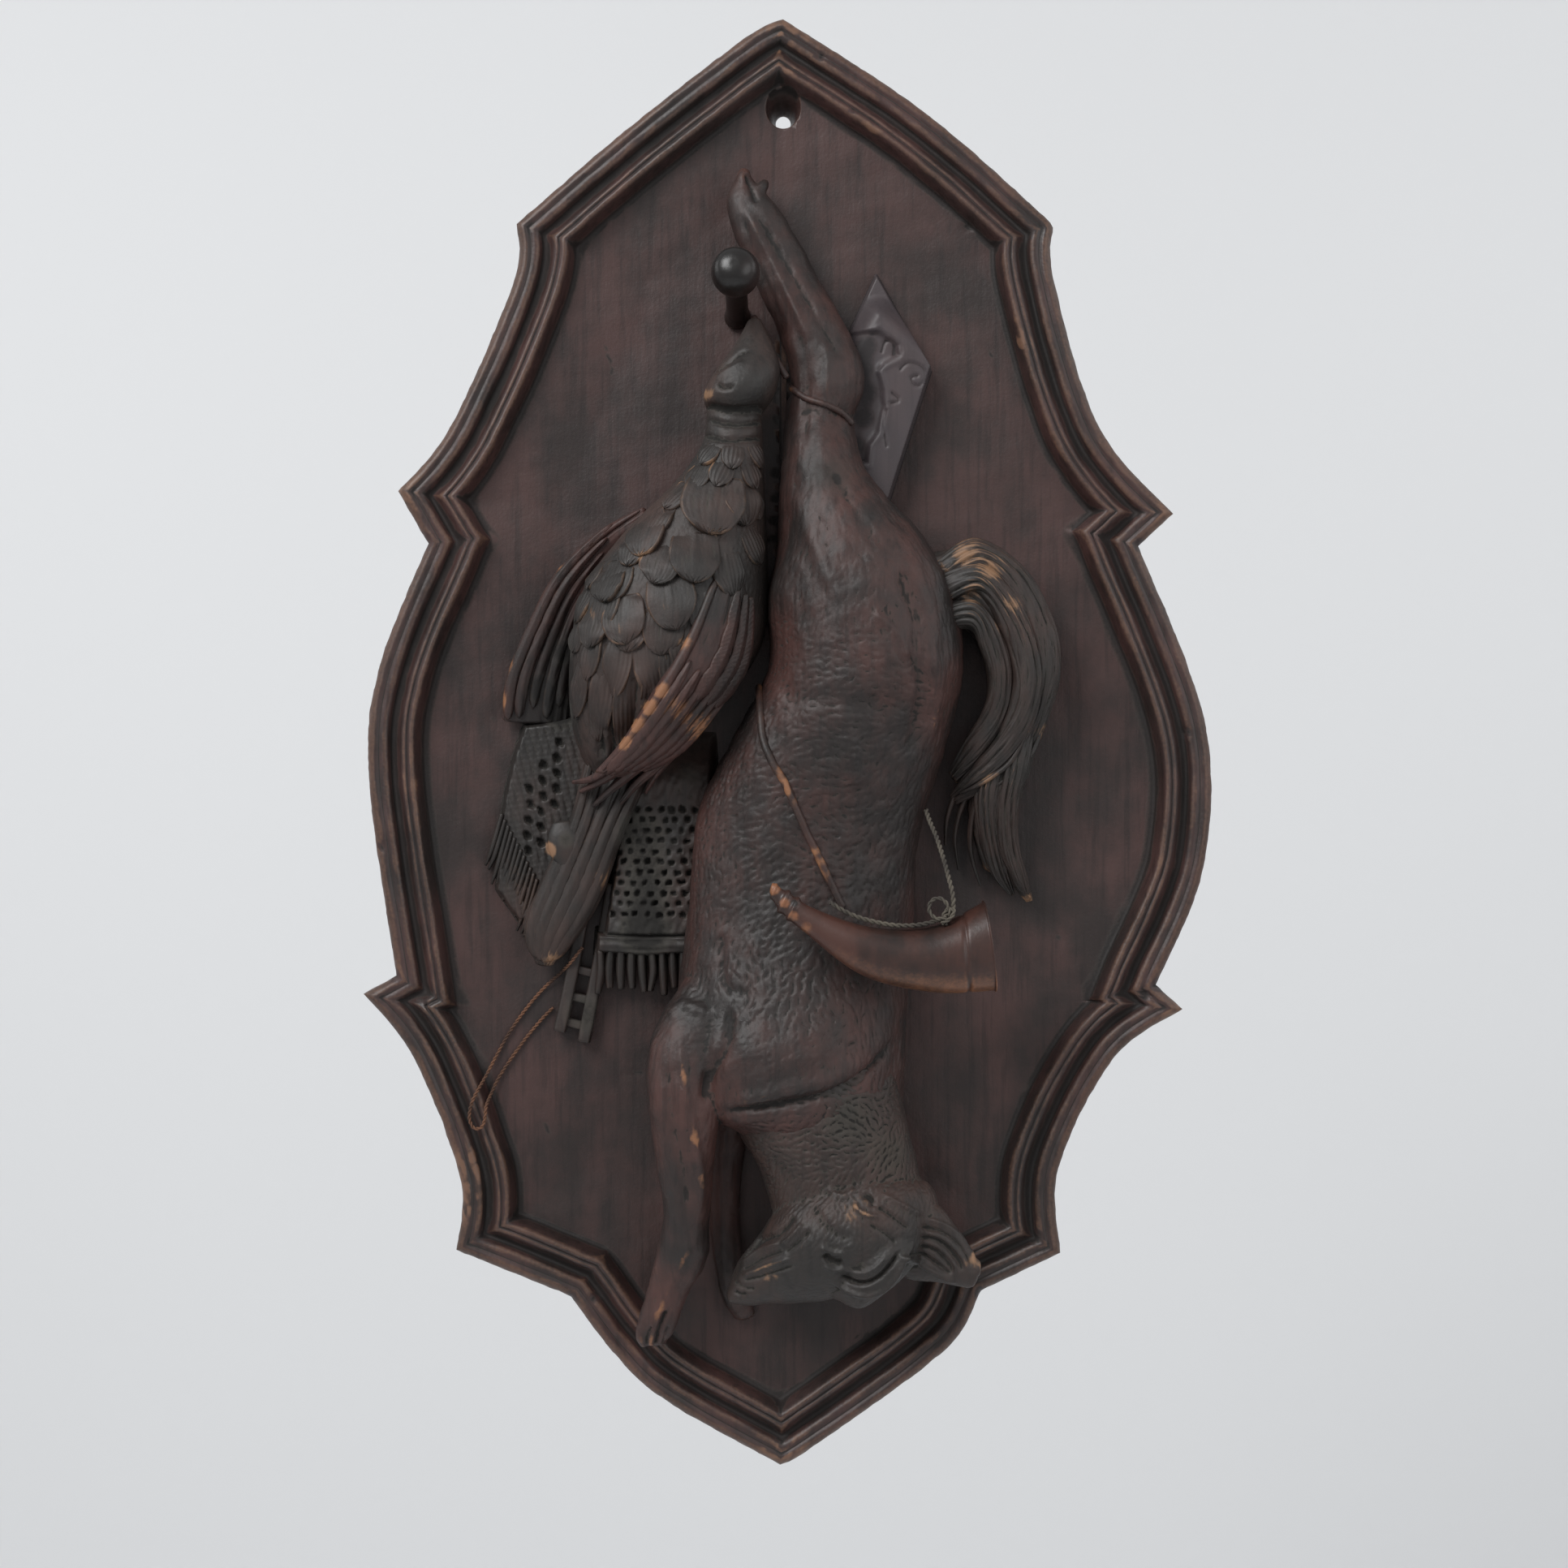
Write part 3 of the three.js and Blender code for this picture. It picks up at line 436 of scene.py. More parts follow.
# %% The twine finish
def twine_finish(name, clean, dirty):
    f = Finish(name)
    dirt = f.ramp(f.cloud(9, detail=3), 0.35, 0.68)
    fuzz = f.cloud(0.5, detail=3)
    f.put(f.surface.inputs["Base Color"], f.blend(dirt * 0.8 + fuzz * 0.2, clean, dirty))
    f.put(f.surface.inputs["Roughness"], 0.85 + fuzz * 0.12)
    bump = f.node("Bump", None, {"Strength": 0.5, "Distance": 0.0002, "Height": fuzz})
    f.put(f.surface.inputs["Normal"], bump)
    return f.material


GREY_TWINE = twine_finish("grey_twine", colour(88, 82, 72), colour(46, 42, 39))
ORANGE_THREAD = twine_finish("orange_thread", colour(106, 72, 52), colour(54, 39, 32))
print("finishes:", len(bpy.data.materials))

# %% [markdown]
# ## From arrays to a piece
# The masks come from the shape itself. A copy of the points is smoothed, and where the real surface
# stands proud of the copy there is a crest, which hands have rubbed. Where it lies below, there is a
# hollow that keeps dust and is painted darker, as painted shade. Other places are given as spots: x, z,
# radius, strength. A strength above zero is rubbed wood, and `broken` says how far the form breaks it up.
# A strength below zero is dust and painted shade.

# %% Pieces and their masks
def smoothed(points, edges, times, share=1.0):
    """Moves every point towards the middle of its neighbours, by a share, a few times."""
    one, other = edges[:, 0], edges[:, 1]
    count = np.bincount(edges.ravel(), minlength=len(points))[:, None]
    for _ in range(times):
        total = np.stack([np.bincount(one, points[other, c], len(points))
                          + np.bincount(other, points[one, c], len(points)) for c in range(3)], -1)
        points = points + (total / np.maximum(count, 1) - points) * share
    return points


def edges_of(quads):
    pairs = np.concatenate([quads[:, [k, (k + 1) % 4]] for k in range(4)])
    return np.unique(np.sort(pairs, axis=1), axis=0)


def normals_of(points, quads):
    a, b, c, d = (points[quads[:, k]] for k in range(4))
    face = np.cross(c - a, d - b)
    total = np.stack([np.bincount(quads.ravel(), np.repeat(face[:, k], 4), len(points))
                      for k in range(3)], -1)
    return unit(total)


def set_masks(mesh, spots, crest, reach, rub, broken):
    points = np.zeros(len(mesh.vertices) * 3)
    mesh.vertices.foreach_get("co", points)
    points = points.reshape(-1, 3) / METRES
    normals = np.zeros(len(mesh.vertices) * 3)
    mesh.vertex_normals.foreach_get("vector", normals)
    normals = normals.reshape(-1, 3)
    edges = np.zeros(len(mesh.edges) * 2, int)
    mesh.edges.foreach_get("vertices", edges)
    edges = edges.reshape(-1, 2)
    proud = ((points - smoothed(points, edges, reach)) * normals).sum(1)
    worn = rub * step(0.3 * crest, 1.6 * crest, proud)
    patchy = 0.3 + 0.7 * step(-0.6 * crest, 0.9 * crest, proud)
    patchy = step(-0.5, 0.8, waves(points, 3.2, 71)) * patchy
    # hollows keep dust, and the finish also paints them darker as painted shade
    hollow = step(0.1 * crest, crest, -proud)
    for x, z, radius, strength in spots:
        near = np.hypot(points[:, 0] - x, points[:, 2] - z) / radius
        weight = strength * (1 - step(0.0, 1.1, near)) * (normals[:, 1] < 0.3)
        if strength > 0:
            worn += weight * (1 - broken + broken * patchy)
        else:
            hollow -= weight
    for name, values in (("worn", worn), ("hollow", hollow)):
        mask = mesh.attributes.new(name, "FLOAT", "POINT")
        mask.data.foreach_set("value", np.clip(values, 0, 1.2).astype(np.float32))


def add_piece(name, points, faces, node, slot, finish, spots=(), crest=0.22, reach=8, rub=0.42,
              broken=1.0):
    """A finished piece that takes the place of its node in the packed model."""
    mesh = bpy.data.meshes.new(name)
    mesh.from_pydata((points * METRES).tolist(), [], faces)
    mesh.polygons.foreach_set("use_smooth", [True] * len(mesh.polygons))
    mesh.update()
    set_masks(mesh, spots, crest, reach, rub, broken)
    piece = bpy.data.objects.new(name, mesh)
    bpy.context.scene.collection.objects.link(piece)
    mesh.materials.append(finish)
    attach(piece, "root")
    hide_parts(node)
    triangles = sum(len(p.vertices) - 2 for p in mesh.polygons)
    print(f"{name}: {triangles} triangles")
    return piece


def faces_of(form):
    return form[1].tolist() + form[2].tolist()

# %% [markdown]
# ## The two strings
# Each string is two plies twisted round a route. The route is the middle line of the string in the packed
# model, so the piece lies where the solid does. The horn's string hangs from the flank and runs along the
# horn. Its small tied loop and knot are a piece of their own, because the length of a cord is told along
# its route alone. The gun's string is one loop that lies on the board.

# %% Strings
HORN_ROUTE = [
    [45.6, -215.4, 33.4], [46.6, -219, 37.2], [48.4, -224, 42.5], [50, -230, 48.5], [51.3, -236, 54],
    [52.3, -241, 57.5], [52.2, -245.4, 59], [49.4, -248.2, 59.3], [45, -249.8, 59.6], [40, -250.6, 60],
    [34, -250.5, 60.5], [28, -249.4, 61.2], [22, -247.6, 61.8], [17.5, -245.4, 62.2], [14.5, -243.4, 62],
]
GUN_ROUTE = [
    [-65.5, -260.5, 17.7], [-69.3, -265.3, 17.7], [-73.5, -269.5, 13], [-78.5, -274, 10.7],
    [-84, -280.3, 10.7], [-89.5, -288, 11.2], [-94, -296, 11.9], [-97.2, -302.5, 14.2],
    [-99.4, -306.8, 18.6], [-100.8, -309.6, 19.4], [-101.9, -313, 19.2], [-102, -316.6, 19],
    [-100.4, -319.2, 19], [-98, -318.6, 19.2], [-97, -315.6, 19.4], [-96.6, -311.8, 18.7],
    [-95.4, -308, 14.1], [-93.4, -303.6, 12.2], [-89.5, -297.5, 11.5], [-84.5, -290.5, 10.9],
    [-79, -284, 10.6], [-75.8, -280.8, 10.6],
]


def twisted(route, diameter, lay_length):
    """Two plies wound round a route. The lay length is one full turn."""
    line = evenly(at(*np.array(route).T), diameter * 0.22)
    run = unit(np.gradient(line, axis=0))
    side = unit(np.cross(run, at(0, 0, 1)))
    other = np.cross(run, side)
    turn = run_length(line)[:, None] / lay_length * 2 * math.pi
    plies = [line + 0.24 * diameter * (np.cos(turn + a) * side + np.sin(turn + a) * other)
             for a in (0, math.pi)]
    return line, join_forms([tube(ply, 0.26 * diameter, sides=8) for ply in plies])


def add_string(name, node, route, diameter, lay_length, finish, knot=()):
    """The route is the string itself. Its knot is a piece of its own."""
    line, form = twisted(route, diameter, lay_length)
    piece = add_piece(name, form[0], faces_of(form), node, "twine", finish)
    if knot:
        bow = join_forms([twisted(turn, diameter * 0.85, lay_length)[1] for turn in knot])
        add_piece(name + "_knot", bow[0], faces_of(bow), node, "twine", finish)
    return piece


HORN_LOOP = [
    [51.4, -247.6, 60], [50.2, -243.8, 60.2], [47.8, -242.2, 60], [45.4, -243.4, 59.8], [45, -246.2, 60],
    [47, -248.4, 60.6], [50, -248.2, 61],
]
HORN_KNOT = [
    [48.8, -249.9, 61], [51.2, -248.4, 61.4], [52.6, -246.2, 60.6], [51, -245.4, 59.4],
    [49.4, -247.6, 59.6], [50.2, -250.4, 60.4],
]
add_string("horn_twine", "horn_string", HORN_ROUTE, 1.6, 4.2, GREY_TWINE,
           knot=[HORN_LOOP, HORN_KNOT])
add_string("gun_thread", "gun_string", GUN_ROUTE, 1.2, 3.2, ORANGE_THREAD)

# %% [markdown]
# ## The board
# The board was sawn out by hand and its rim was cut with gouges and scrapers: two mouldings with a groove
# between them, then a shallow dished field. A router would leave it even, but this one wavers, so the
# profile is swept round the outline and each of its lines wanders a little on its own. The sides meet in
# mitred corners. Rings that shrink to the middle line make the field, a few chips are taken off the
# arrises, and the back is one flat face.

# %% Board outline
OUTLINE = [  # the sides in turn, clockwise from the top, each from notch to notch
    [[0, 44], [45.7, 14], [82.6, -18], [88.7, -24.4]],
    [[88.7, -24.4], [88.9, -42], [103.8, -90], [128, -118.4]],
    [[128, -118.4], [116.6, -129]],
    [[116.6, -129], [138.3, -186], [138.3, -233], [122.4, -273]],
    [[122.4, -273], [131.2, -281]],
    [[131.2, -281], [108.6, -297], [90.5, -333], [91, -361]],
    [[91, -361], [65, -373.3]],
    [[65, -373.3], [53, -393], [10, -424.5], [-1, -430.6]],
    [[-1, -430.6], [-40, -408.6], [-56.3, -393], [-69.6, -375.4]],
    [[-69.6, -375.4], [-85, -369], [-107.5, -360]],
    [[-107.5, -360], [-106, -337], [-121.3, -297], [-137.8, -276]],
    [[-137.8, -276], [-127, -270]],
    [[-127, -270], [-136, -206], [-133, -170], [-116.6, -128.2]],
    [[-116.6, -128.2], [-126.4, -111]],
    [[-126.4, -111], [-109.4, -90], [-88.4, -42], [-87.6, -23.4]],
    [[-87.6, -23.4], [-54, 5.6], [-13, 37.4], [0, 44]],
]
OUTLINE_PITCH = 1.6


def side_curve(points):
    """One side of the outline, finely drawn, with its direction at every point."""
    fine = between(points, np.linspace(0, len(points) - 1, 30 * len(points)))
    return fine, unit(np.gradient(fine, axis=0))


SIDES = [side_curve(points) for points in OUTLINE]
SIDE_COUNTS = [max(3, round(run_length(fine)[-1] / OUTLINE_PITCH)) for fine, _ in SIDES]


def offset_side(side, inset):
    """A side moved in by the inset and drawn on straight at both ends."""
    fine, way = side
    moved = fine + np.stack([way[:, 1], -way[:, 0]], -1) * inset
    return np.concatenate([moved[:1] - way[:1] * 40, moved, moved[-1:] + way[-1:] * 40])


def crossing(first, second, corner):
    """Where two lines of points cross nearest to a corner, as places along each of them."""
    p, r = first[:-1, None], np.diff(first, axis=0)[:, None]
    q, s = second[None, :-1], np.diff(second, axis=0)[None]
    cross = r[..., 0] * s[..., 1] - r[..., 1] * s[..., 0]
    cross = np.where(np.abs(cross) < 1e-12, 1e-12, cross)
    gap = q - p
    t = (gap[..., 0] * s[..., 1] - gap[..., 1] * s[..., 0]) / cross
    u = (gap[..., 0] * r[..., 1] - gap[..., 1] * r[..., 0]) / cross
    meets = (t >= 0) & (t <= 1) & (u >= 0) & (u <= 1)
    away = np.where(meets, np.linalg.norm(p + r * t[..., None] - corner, axis=-1), 1e9)
    i, j = np.unravel_index(away.argmin(), away.shape)
    return i + t[i, j], j + u[i, j]


def outline_at(inset):
    """The outline drawn in by a distance, with true mitres, as one array of points."""
    moved = [offset_side(side, inset) for side in SIDES]
    meets = [crossing(moved[i - 1], moved[i], SIDES[i][0][0]) for i in range(len(SIDES))]
    drawn = []
    for i, line in enumerate(moved):
        along = run_length(line)
        start = np.interp(meets[i][1], np.arange(len(line)), along)
        end = np.interp(meets[(i + 1) % len(SIDES)][0], np.arange(len(line)), along)
        places = np.linspace(start, end, SIDE_COUNTS[i] + 1)[:-1]
        drawn.append(np.stack([np.interp(places, along, line[:, c]) for c in (0, 1)], -1))
    return np.concatenate(drawn)


print("board outline points:", len(outline_at(0)))

# %% Board profile
RIM = [
    [0.5, 0], [0, 0.6], [0, 4.5], [0, 8.8], [0.05, 12.4], [0.3, 13.5], [0.9, 14.5], [1.6, 15.2],
    [2.4, 15.55], [3.1, 15.5], [3.7, 15.1], [4.1, 14.85], [4.5, 15.1], [5.3, 15.35], [6.2, 15.2],
    [6.9, 14.7], [7.4, 13.8], [7.8, 12.9], [8.3, 12.45], [8.9, 12.55], [9.6, 13.2], [10.3, 14.1],
    [11, 15.3], [11.7, 16.4], [12.3, 17], [12.9, 17.2], [13.2, 16.75], [13.5, 16.7], [13.9, 17.3],
    [14.4, 17.8], [15, 18], [15.6, 17.8], [16.2, 17.1], [16.8, 15.9], [17.3, 14.4], [17.8, 12.9],
    [18.2, 11.8], [18.6, 11.3], [19.3, 11.15],
]
DISH = [[19.3, 24, 32, 42.4, 200], [11.15, 10.78, 10.2, 9.5, 9.5]]     # inset, depth of the field
CENTRE_LINE = (-60.0, -345.0)     # the middle of the field runs between these heights
CENTRE_SHARES = np.linspace(0, 0.985, 56)[1:]
BACK_INSET = 1.8                  # the back's edge is broken by this much
FRONT_ONLY = -9.0                 # y of the field: what lies beyond it belongs to the front
CHIPS = [  # x, z, radius, depth lost
    [22.6, 12.5, 1.4, 0.5], [61, -24, 1.8, 0.8], [-103.5, -147, 1.6, 0.9],
    [118.5, -276, 2.4, 1.4], [-118, -279, 2.0, 1.1], [83.5, -355, 2.0, 0.9], [-62, -375, 1.8, 1.0],
    [-96, -40, 1.7, 0.8], [12, 31, 1.8, 0.8], [-131.5, -228, 1.5, 0.8], [132, -190, 1.7, 0.9],
]


def polygon_distance(x, z, corners):
    """Distance to a polygon's edge: more than 0 inside it, less outside."""
    corners = np.array(corners, float)
    best, inside = np.full(x.shape, 1e9), np.zeros(x.shape, bool)
    for (ax, az), (bx, bz) in zip(corners, np.roll(corners, -1, 0)):
        rx, rz = bx - ax, bz - az
        t = np.clip(((x - ax) * rx + (z - az) * rz) / (rx * rx + rz * rz), 0, 1)
        best = np.minimum(best, np.hypot(x - ax - t * rx, z - az - t * rz))
        inside ^= ((az > z) != (bz > z)) & (x < ax + (z - az) * rx / (rz + 1e-12))
    return np.where(inside, best, -best)


def rim_rings():
    """The rings of the rim. Three kinds of waves move them: wander, tool marks and rasp marks."""
    rings, outer = [], outline_at(0)
    for inset, depth in RIM:
        flat = outline_at(inset)
        wander = waves(np.column_stack([outer, np.full(len(outer), inset * 3.0)]), 26, 5)
        tooled = waves(np.column_stack([outer, np.full(len(outer), inset * 2.0)]), 7, 11)
        rasp = waves(np.column_stack([outer, np.full(len(outer), depth * 1.4)]), 3.4, 17)
        height = depth + (0.22 * wander + 0.12 * tooled) * step(8, 12.5, depth)
        edge = 1 - step(0.2, 3.5, inset)
        shift = (0.16 * rasp + 0.14 * tooled) * edge * step(0, 3, depth) + 0.2 * wander * (1 - edge)
        flat = flat + unit(outline_at(inset + 1) - flat) * shift[:, None]
        rings.append(at(flat[:, 0], flat[:, 1], height))
    return rings


def field_rings(start):
    corners = outline_at(0)
    target = at(0, np.clip(start[:, 2], CENTRE_LINE[1], CENTRE_LINE[0]), 0)
    rings = []
    for share in CENTRE_SHARES:
        ring = start + (target - start) * share
        inset = polygon_distance(ring[:, 0], ring[:, 2], corners)
        facets = 0.16 * waves(ring[:, [0, 2]], 22, 23) + 0.05 * waves(ring[:, [0, 2]], 6, 29)
        ring[:, 1] = -np.interp(inset, *DISH) - facets * step(0, 0.08, share)
        rings.append(ring)
    return rings


def board_rings():
    rim = rim_rings()
    back = outline_at(BACK_INSET)
    rings = np.array([at(back[:, 0], back[:, 1], 0)] + rim + field_rings(rim[-1]))
    for x, z, radius, lost in CHIPS:
        away = np.hypot(rings[..., 0] - x, rings[..., 2] - z) / radius
        bite = (1 - step(0.45, 1.0, away + 0.25 * waves(rings, 2.2, 31))) * lost
        rings[..., 1] += bite * (rings[..., 1] < FRONT_ONLY)
    return rings


def with_flat_back(form, sides):
    """Trades the fan of triangles that closes the first ring for one flat face."""
    points, faces = form[0], faces_of(form)
    middle = len(points) - 2
    ring = list(range(sides))
    x, z = points[ring, 0], points[ring, 2]
    if np.sum(x * np.roll(z, -1) - np.roll(x, -1) * z) > 0:
        ring = ring[::-1]
    faces = [[k - (k > middle) for k in face] for face in faces if middle not in face]
    return np.delete(points, middle, 0), faces + [ring]


FIELD_MIDDLE = at(0, -200, 0)
rings = board_rings()
board_form = skin(rings, FIELD_MIDDLE, rings[-1].mean(0))
board_points, board_faces = with_flat_back(board_form, rings.shape[1])
print("board:", len(rings), "rings of", rings.shape[1], "points")

# %% [markdown]
# ## The hanging hole and the scratches
# A drill was run through the board near the top, close enough to the rim to cut its inner corner. So a
# drill that flares towards the front is taken away from the mesh. Scratches are thin lines pressed into
# the field, and hands and years have rubbed a few places of the rim.

# %% Scratches
SCRATCHES = [
    [[-82.6, -307.5], [-80, -316], [-77.4, -321.4], [-73, -331.5]],
    [[-55, -303.6], [-49, -302.6], [-43, -301]], [[31, -122], [34, -117], [36.5, -109]],
    [[66, -62], [71, -70]], [[-98, -190], [-95, -183]], [[-60, -60], [-57, -68], [-56, -76]],
    [[18, -392], [24, -389], [33, -386]], [[88, -250], [92, -262]],
]
FIELD_SPOTS = [  # x, z, radius, strength
    [0, 36, 12, 0.5], [1.3, 25, 4, 0.9], [28, 6, 4, 0.9], [76, -62, 6, 0.9], [-102, -331, 9, 0.9],
    [-104, -343, 10, 0.9], [-130, -270, 8, 0.4], [125, -120, 8, 0.4], [-124, -112, 8, 0.5],
    [128, -281, 8, 0.5], [-1, -425, 12, 0.4], [-116, -206, 16, 0.35], [118, -232, 14, 0.3],
    [75, -60, 10, 0.3],
]
SCRATCH_HALF = 0.55
SCRATCH_DEPTH = 0.35


def line_distance(points, path):
    """How far each x, z place is from a smooth drawn line, and how far along the line, from 0 to 1."""
    path = evenly(np.asarray(path, float), 1.2) if len(path) > 2 else np.asarray(path, float)
    best, place = np.full(len(points), 1e9), np.zeros(len(points))
    for i in range(len(path) - 1):
        a, run = path[i], path[i + 1] - path[i]
        t = np.clip(((points - a) @ run) / (run @ run), 0, 1)
        away = np.linalg.norm(points - a - t[:, None] * run, axis=1)
        nearer = away < best
        best[nearer], place[nearer] = away[nearer], (i + t[nearer]) / (len(path) - 1)
    return best, place


for scratch in SCRATCHES:
    away, place = line_distance(board_points[:, [0, 2]], scratch)
    pressed_in = np.exp(-(away / SCRATCH_HALF) ** 2) * np.sin(math.pi * np.clip(place, 0.05, 0.95))
    board_points[:, 1] += SCRATCH_DEPTH * pressed_in * (board_points[:, 1] < FRONT_ONLY)
print("scratches:", len(SCRATCHES))

# %% Hanging hole
DRILL = [  # depth, half width, half height, height of its centre
    [-5, 2.5, 2.6, 12.9], [0.6, 2.5, 2.6, 12.9], [1.6, 2.7, 2.9, 13.1], [7.5, 4.6, 5.3, 14.3],
    [9.8, 5.5, 6.4, 15.2], [11.4, 6.0, 6.9, 15.3], [24, 6.8, 8.0, 15.5],
]
turn = 2 * math.pi * np.arange(64) / 64
drill_rings = np.array([at(np.cos(turn) * wide, height + np.sin(turn) * high, depth)
                        for depth, wide, high, height in DRILL])
drill = skin(drill_rings, at(0, 12.9, -6), at(0, 15.5, 26))


def plain_object(name, points, faces):
    mesh = bpy.data.meshes.new(name)
    mesh.from_pydata(points.tolist(), [], faces)
    made = bpy.data.objects.new(name, mesh)
    bpy.context.scene.collection.objects.link(made)
    return made


def after_modifier(made):
    """The arrays of an object once its modifiers have run. The object is then removed."""
    ready = made.evaluated_get(bpy.context.evaluated_depsgraph_get())
    mesh = bpy.data.meshes.new_from_object(ready)
    points = np.zeros(len(mesh.vertices) * 3)
    mesh.vertices.foreach_get("co", points)
    faces = [list(p.vertices) for p in mesh.polygons]
    bpy.data.objects.remove(made)
    return points.reshape(-1, 3), faces


blank = plain_object("blank_board", board_points, board_faces)
bit = plain_object("bit", drill[0], faces_of(drill))
cut = blank.modifiers.new("hole", "BOOLEAN")
cut.operation, cut.solver, cut.object = "DIFFERENCE", "EXACT", bit
bored_points, bored_faces = after_modifier(blank)
bpy.data.objects.remove(bit)
add_piece("moulded_board", bored_points, bored_faces, "shield_board", "stained_board", BOARD_WOOD,
          FIELD_SPOTS, crest=0.3, reach=6, rub=0.62)

# %% [markdown]
# ## Fused forms
# The fox was cut from one block, so its thigh runs into its flank without a seam. The overlapping limbs
# are therefore melted into one skin with a voxel remesh, as clay would be pressed together. The melt is
# then smoothed a little, and its back is cut flat where it meets the board. Cells this small give more
# faces than the plain places need, so once the carving is in, `thinned` takes most of those away again.

# %% Fusing
SEAT = 9.3                        # depth of the flat back, just under the field's surface


def fuse(forms, voxel, rounds=3):
    """One skin over all the forms, in cells of a voxel's size."""
    points, quads, tris = join_forms(forms)
    lump = plain_object("lump", points, quads.tolist() + tris.tolist())
    melt = lump.modifiers.new("melt", "REMESH")
    melt.mode, melt.voxel_size = "VOXEL", voxel
    points, faces = after_modifier(lump)
    quads = np.array(faces)
    print("   fused:", len(points), "points")
    return smoothed(points, edges_of(quads), rounds, 0.6), quads


def thinned(points, faces, share):
    """Keeps only a share of the faces. They go first where the surface is plain."""
    lump = plain_object("lump", points, faces)
    fewer = lump.modifiers.new("fewer", "DECIMATE")
    fewer.ratio = share
    return after_modifier(lump)


def boundary_loops(quads):
    """The open edges of a mesh as closed loops of point numbers, in the direction of its faces."""
    pairs = np.concatenate([quads[:, [k, (k + 1) % 4]] for k in range(4)])
    known = set(map(tuple, pairs.tolist()))
    following = {}
    for a, b in pairs.tolist():
        if (b, a) not in known:
            following.setdefault(a, []).append(b)
    loops = []
    while following:
        start = next(iter(following))
        loop, here = [], start
        while here in following:
            loop.append(here)
            options = following[here]
            step_to = options.pop()
            if not options:
                del following[here]
            here = step_to
            if here == start:
                break
        if len(loop) > 2:
            loops.append(loop)
    return loops


def seated(points, quads):
    """Presses the back flat at the seat, takes away what is hidden there and closes it with one face."""
    points = points.copy()
    points[:, 1] = np.minimum(points[:, 1], -SEAT)
    shown = (points[quads][:, :, 1] < -SEAT - 1e-6).any(1)
    quads = quads[shown]
    used, quads = np.unique(quads, return_inverse=True)
    quads = quads.reshape(-1, 4)
    points = points[used]
    return points, quads, [loop[::-1] for loop in boundary_loops(quads)]

# %% [markdown]
# ## Cuts
# Fur is cut with a veining gouge: short strokes that taper at both ends, laid side by side along the way
# the hair falls. `fur` spreads strokes over a skin. A few guides say which way the hair lies, how long,
# wide and deep the strokes are, and the places in between take a mixture of the nearest guides. `engrave`
# cuts or raises one long line that is drawn in the front view.

# %% Fur strokes
def scattered(points, spacing, rng):
    """Point numbers that lie at least their own spacing apart."""
    taken, chosen = {}, []
    cell = spacing.max()
    for i in rng.permutation(len(points)):
        p = points[i]
        key = tuple(np.floor(p / cell).astype(int))
        near = [q for dx in (-1, 0, 1) for dy in (-1, 0, 1) for dz in (-1, 0, 1)
                for q in taken.get((key[0] + dx, key[1] + dy, key[2] + dz), ())]
        if all((p[0] - q[0]) ** 2 + (p[1] - q[1]) ** 2 + (p[2] - q[2]) ** 2 > spacing[i] ** 2 for q in near):
            taken.setdefault(key, []).append(p)
            chosen.append(i)
    return chosen


def guided(points, guides, reach=14.0):
    """Angle, length, half width and depth of a stroke at each point, mixed from the guides around it."""
    guides = np.array(guides, float)
    away = np.hypot(points[:, None, 0] - guides[:, 0], points[:, None, 2] - guides[:, 1])
    weight = 1 / (away ** 3 + reach ** 2)
    weight /= weight.sum(1, keepdims=True)
    double = np.radians(guides[:, 2]) * 2
    angle = np.arctan2(weight @ np.sin(double), weight @ np.cos(double)) / 2
    return (angle, *(weight @ guides[:, c] for c in (3, 4, 5)))


def fur(points, normals, guides, density, seed, wobble=0.4, raised=0.3, strength=0.56, stray=0.34,
        size=0.72):
    """Cuts strokes with a low lip on each side. `stray` turns single strokes, `wobble` whole patches."""
    rng = np.random.default_rng(seed)
    angle, length, half, depth = guided(points, guides)
    length, half = length * size, half * size
    angle = angle + wobble * waves(points, 17, seed + 1)
    open_places = np.flatnonzero(points[:, 1] < -SEAT - 1.5)
    spacing = np.sqrt(length * half * 2) * density
    centres = open_places[scattered(points[open_places], spacing[open_places], rng)]
    tree = KDTree(len(points))
    for i, p in enumerate(points):
        tree.insert(p, i)
    tree.balance()
    sunk, proud = np.zeros(len(points)), np.zeros(len(points))
    for i in centres:
        turn = angle[i] + rng.normal(0, stray)
        way = np.array([math.cos(turn), 0, math.sin(turn)])
        n = normals[i]
        way = unit(way - n * (way @ n))
        side = np.cross(n, way)
        long = length[i] * rng.uniform(0.7, 1.35)
        wide = half[i] * rng.uniform(0.8, 1.25)
        deep = depth[i] * strength
        near = np.array([j for _, j, _ in tree.find_range(points[i], long * 0.55)])
        offset = points[near] - points[i]
        u = offset @ way / (long / 2)
        v = offset @ side - rng.uniform(-0.3, 0.3) * long * u * u
        taper = np.clip(1 - u * u, 0, 1) ** 0.8
        across = np.abs(v) / (wide * (0.35 + 0.65 * taper))
        facing = (normals[near] @ n) > 0.2
        cut = deep * rng.uniform(0.75, 1.25) * taper * np.clip(1 - across, 0, 1) * facing
        lip = deep * raised * taper * np.exp(-((across - 1.25) / 0.4) ** 2) * facing
        sunk[near] = np.maximum(sunk[near], cut)
        proud[near] = np.maximum(proud[near], lip)
    print("   strokes:", len(centres))
    return points + normals * (proud - sunk)[:, None]


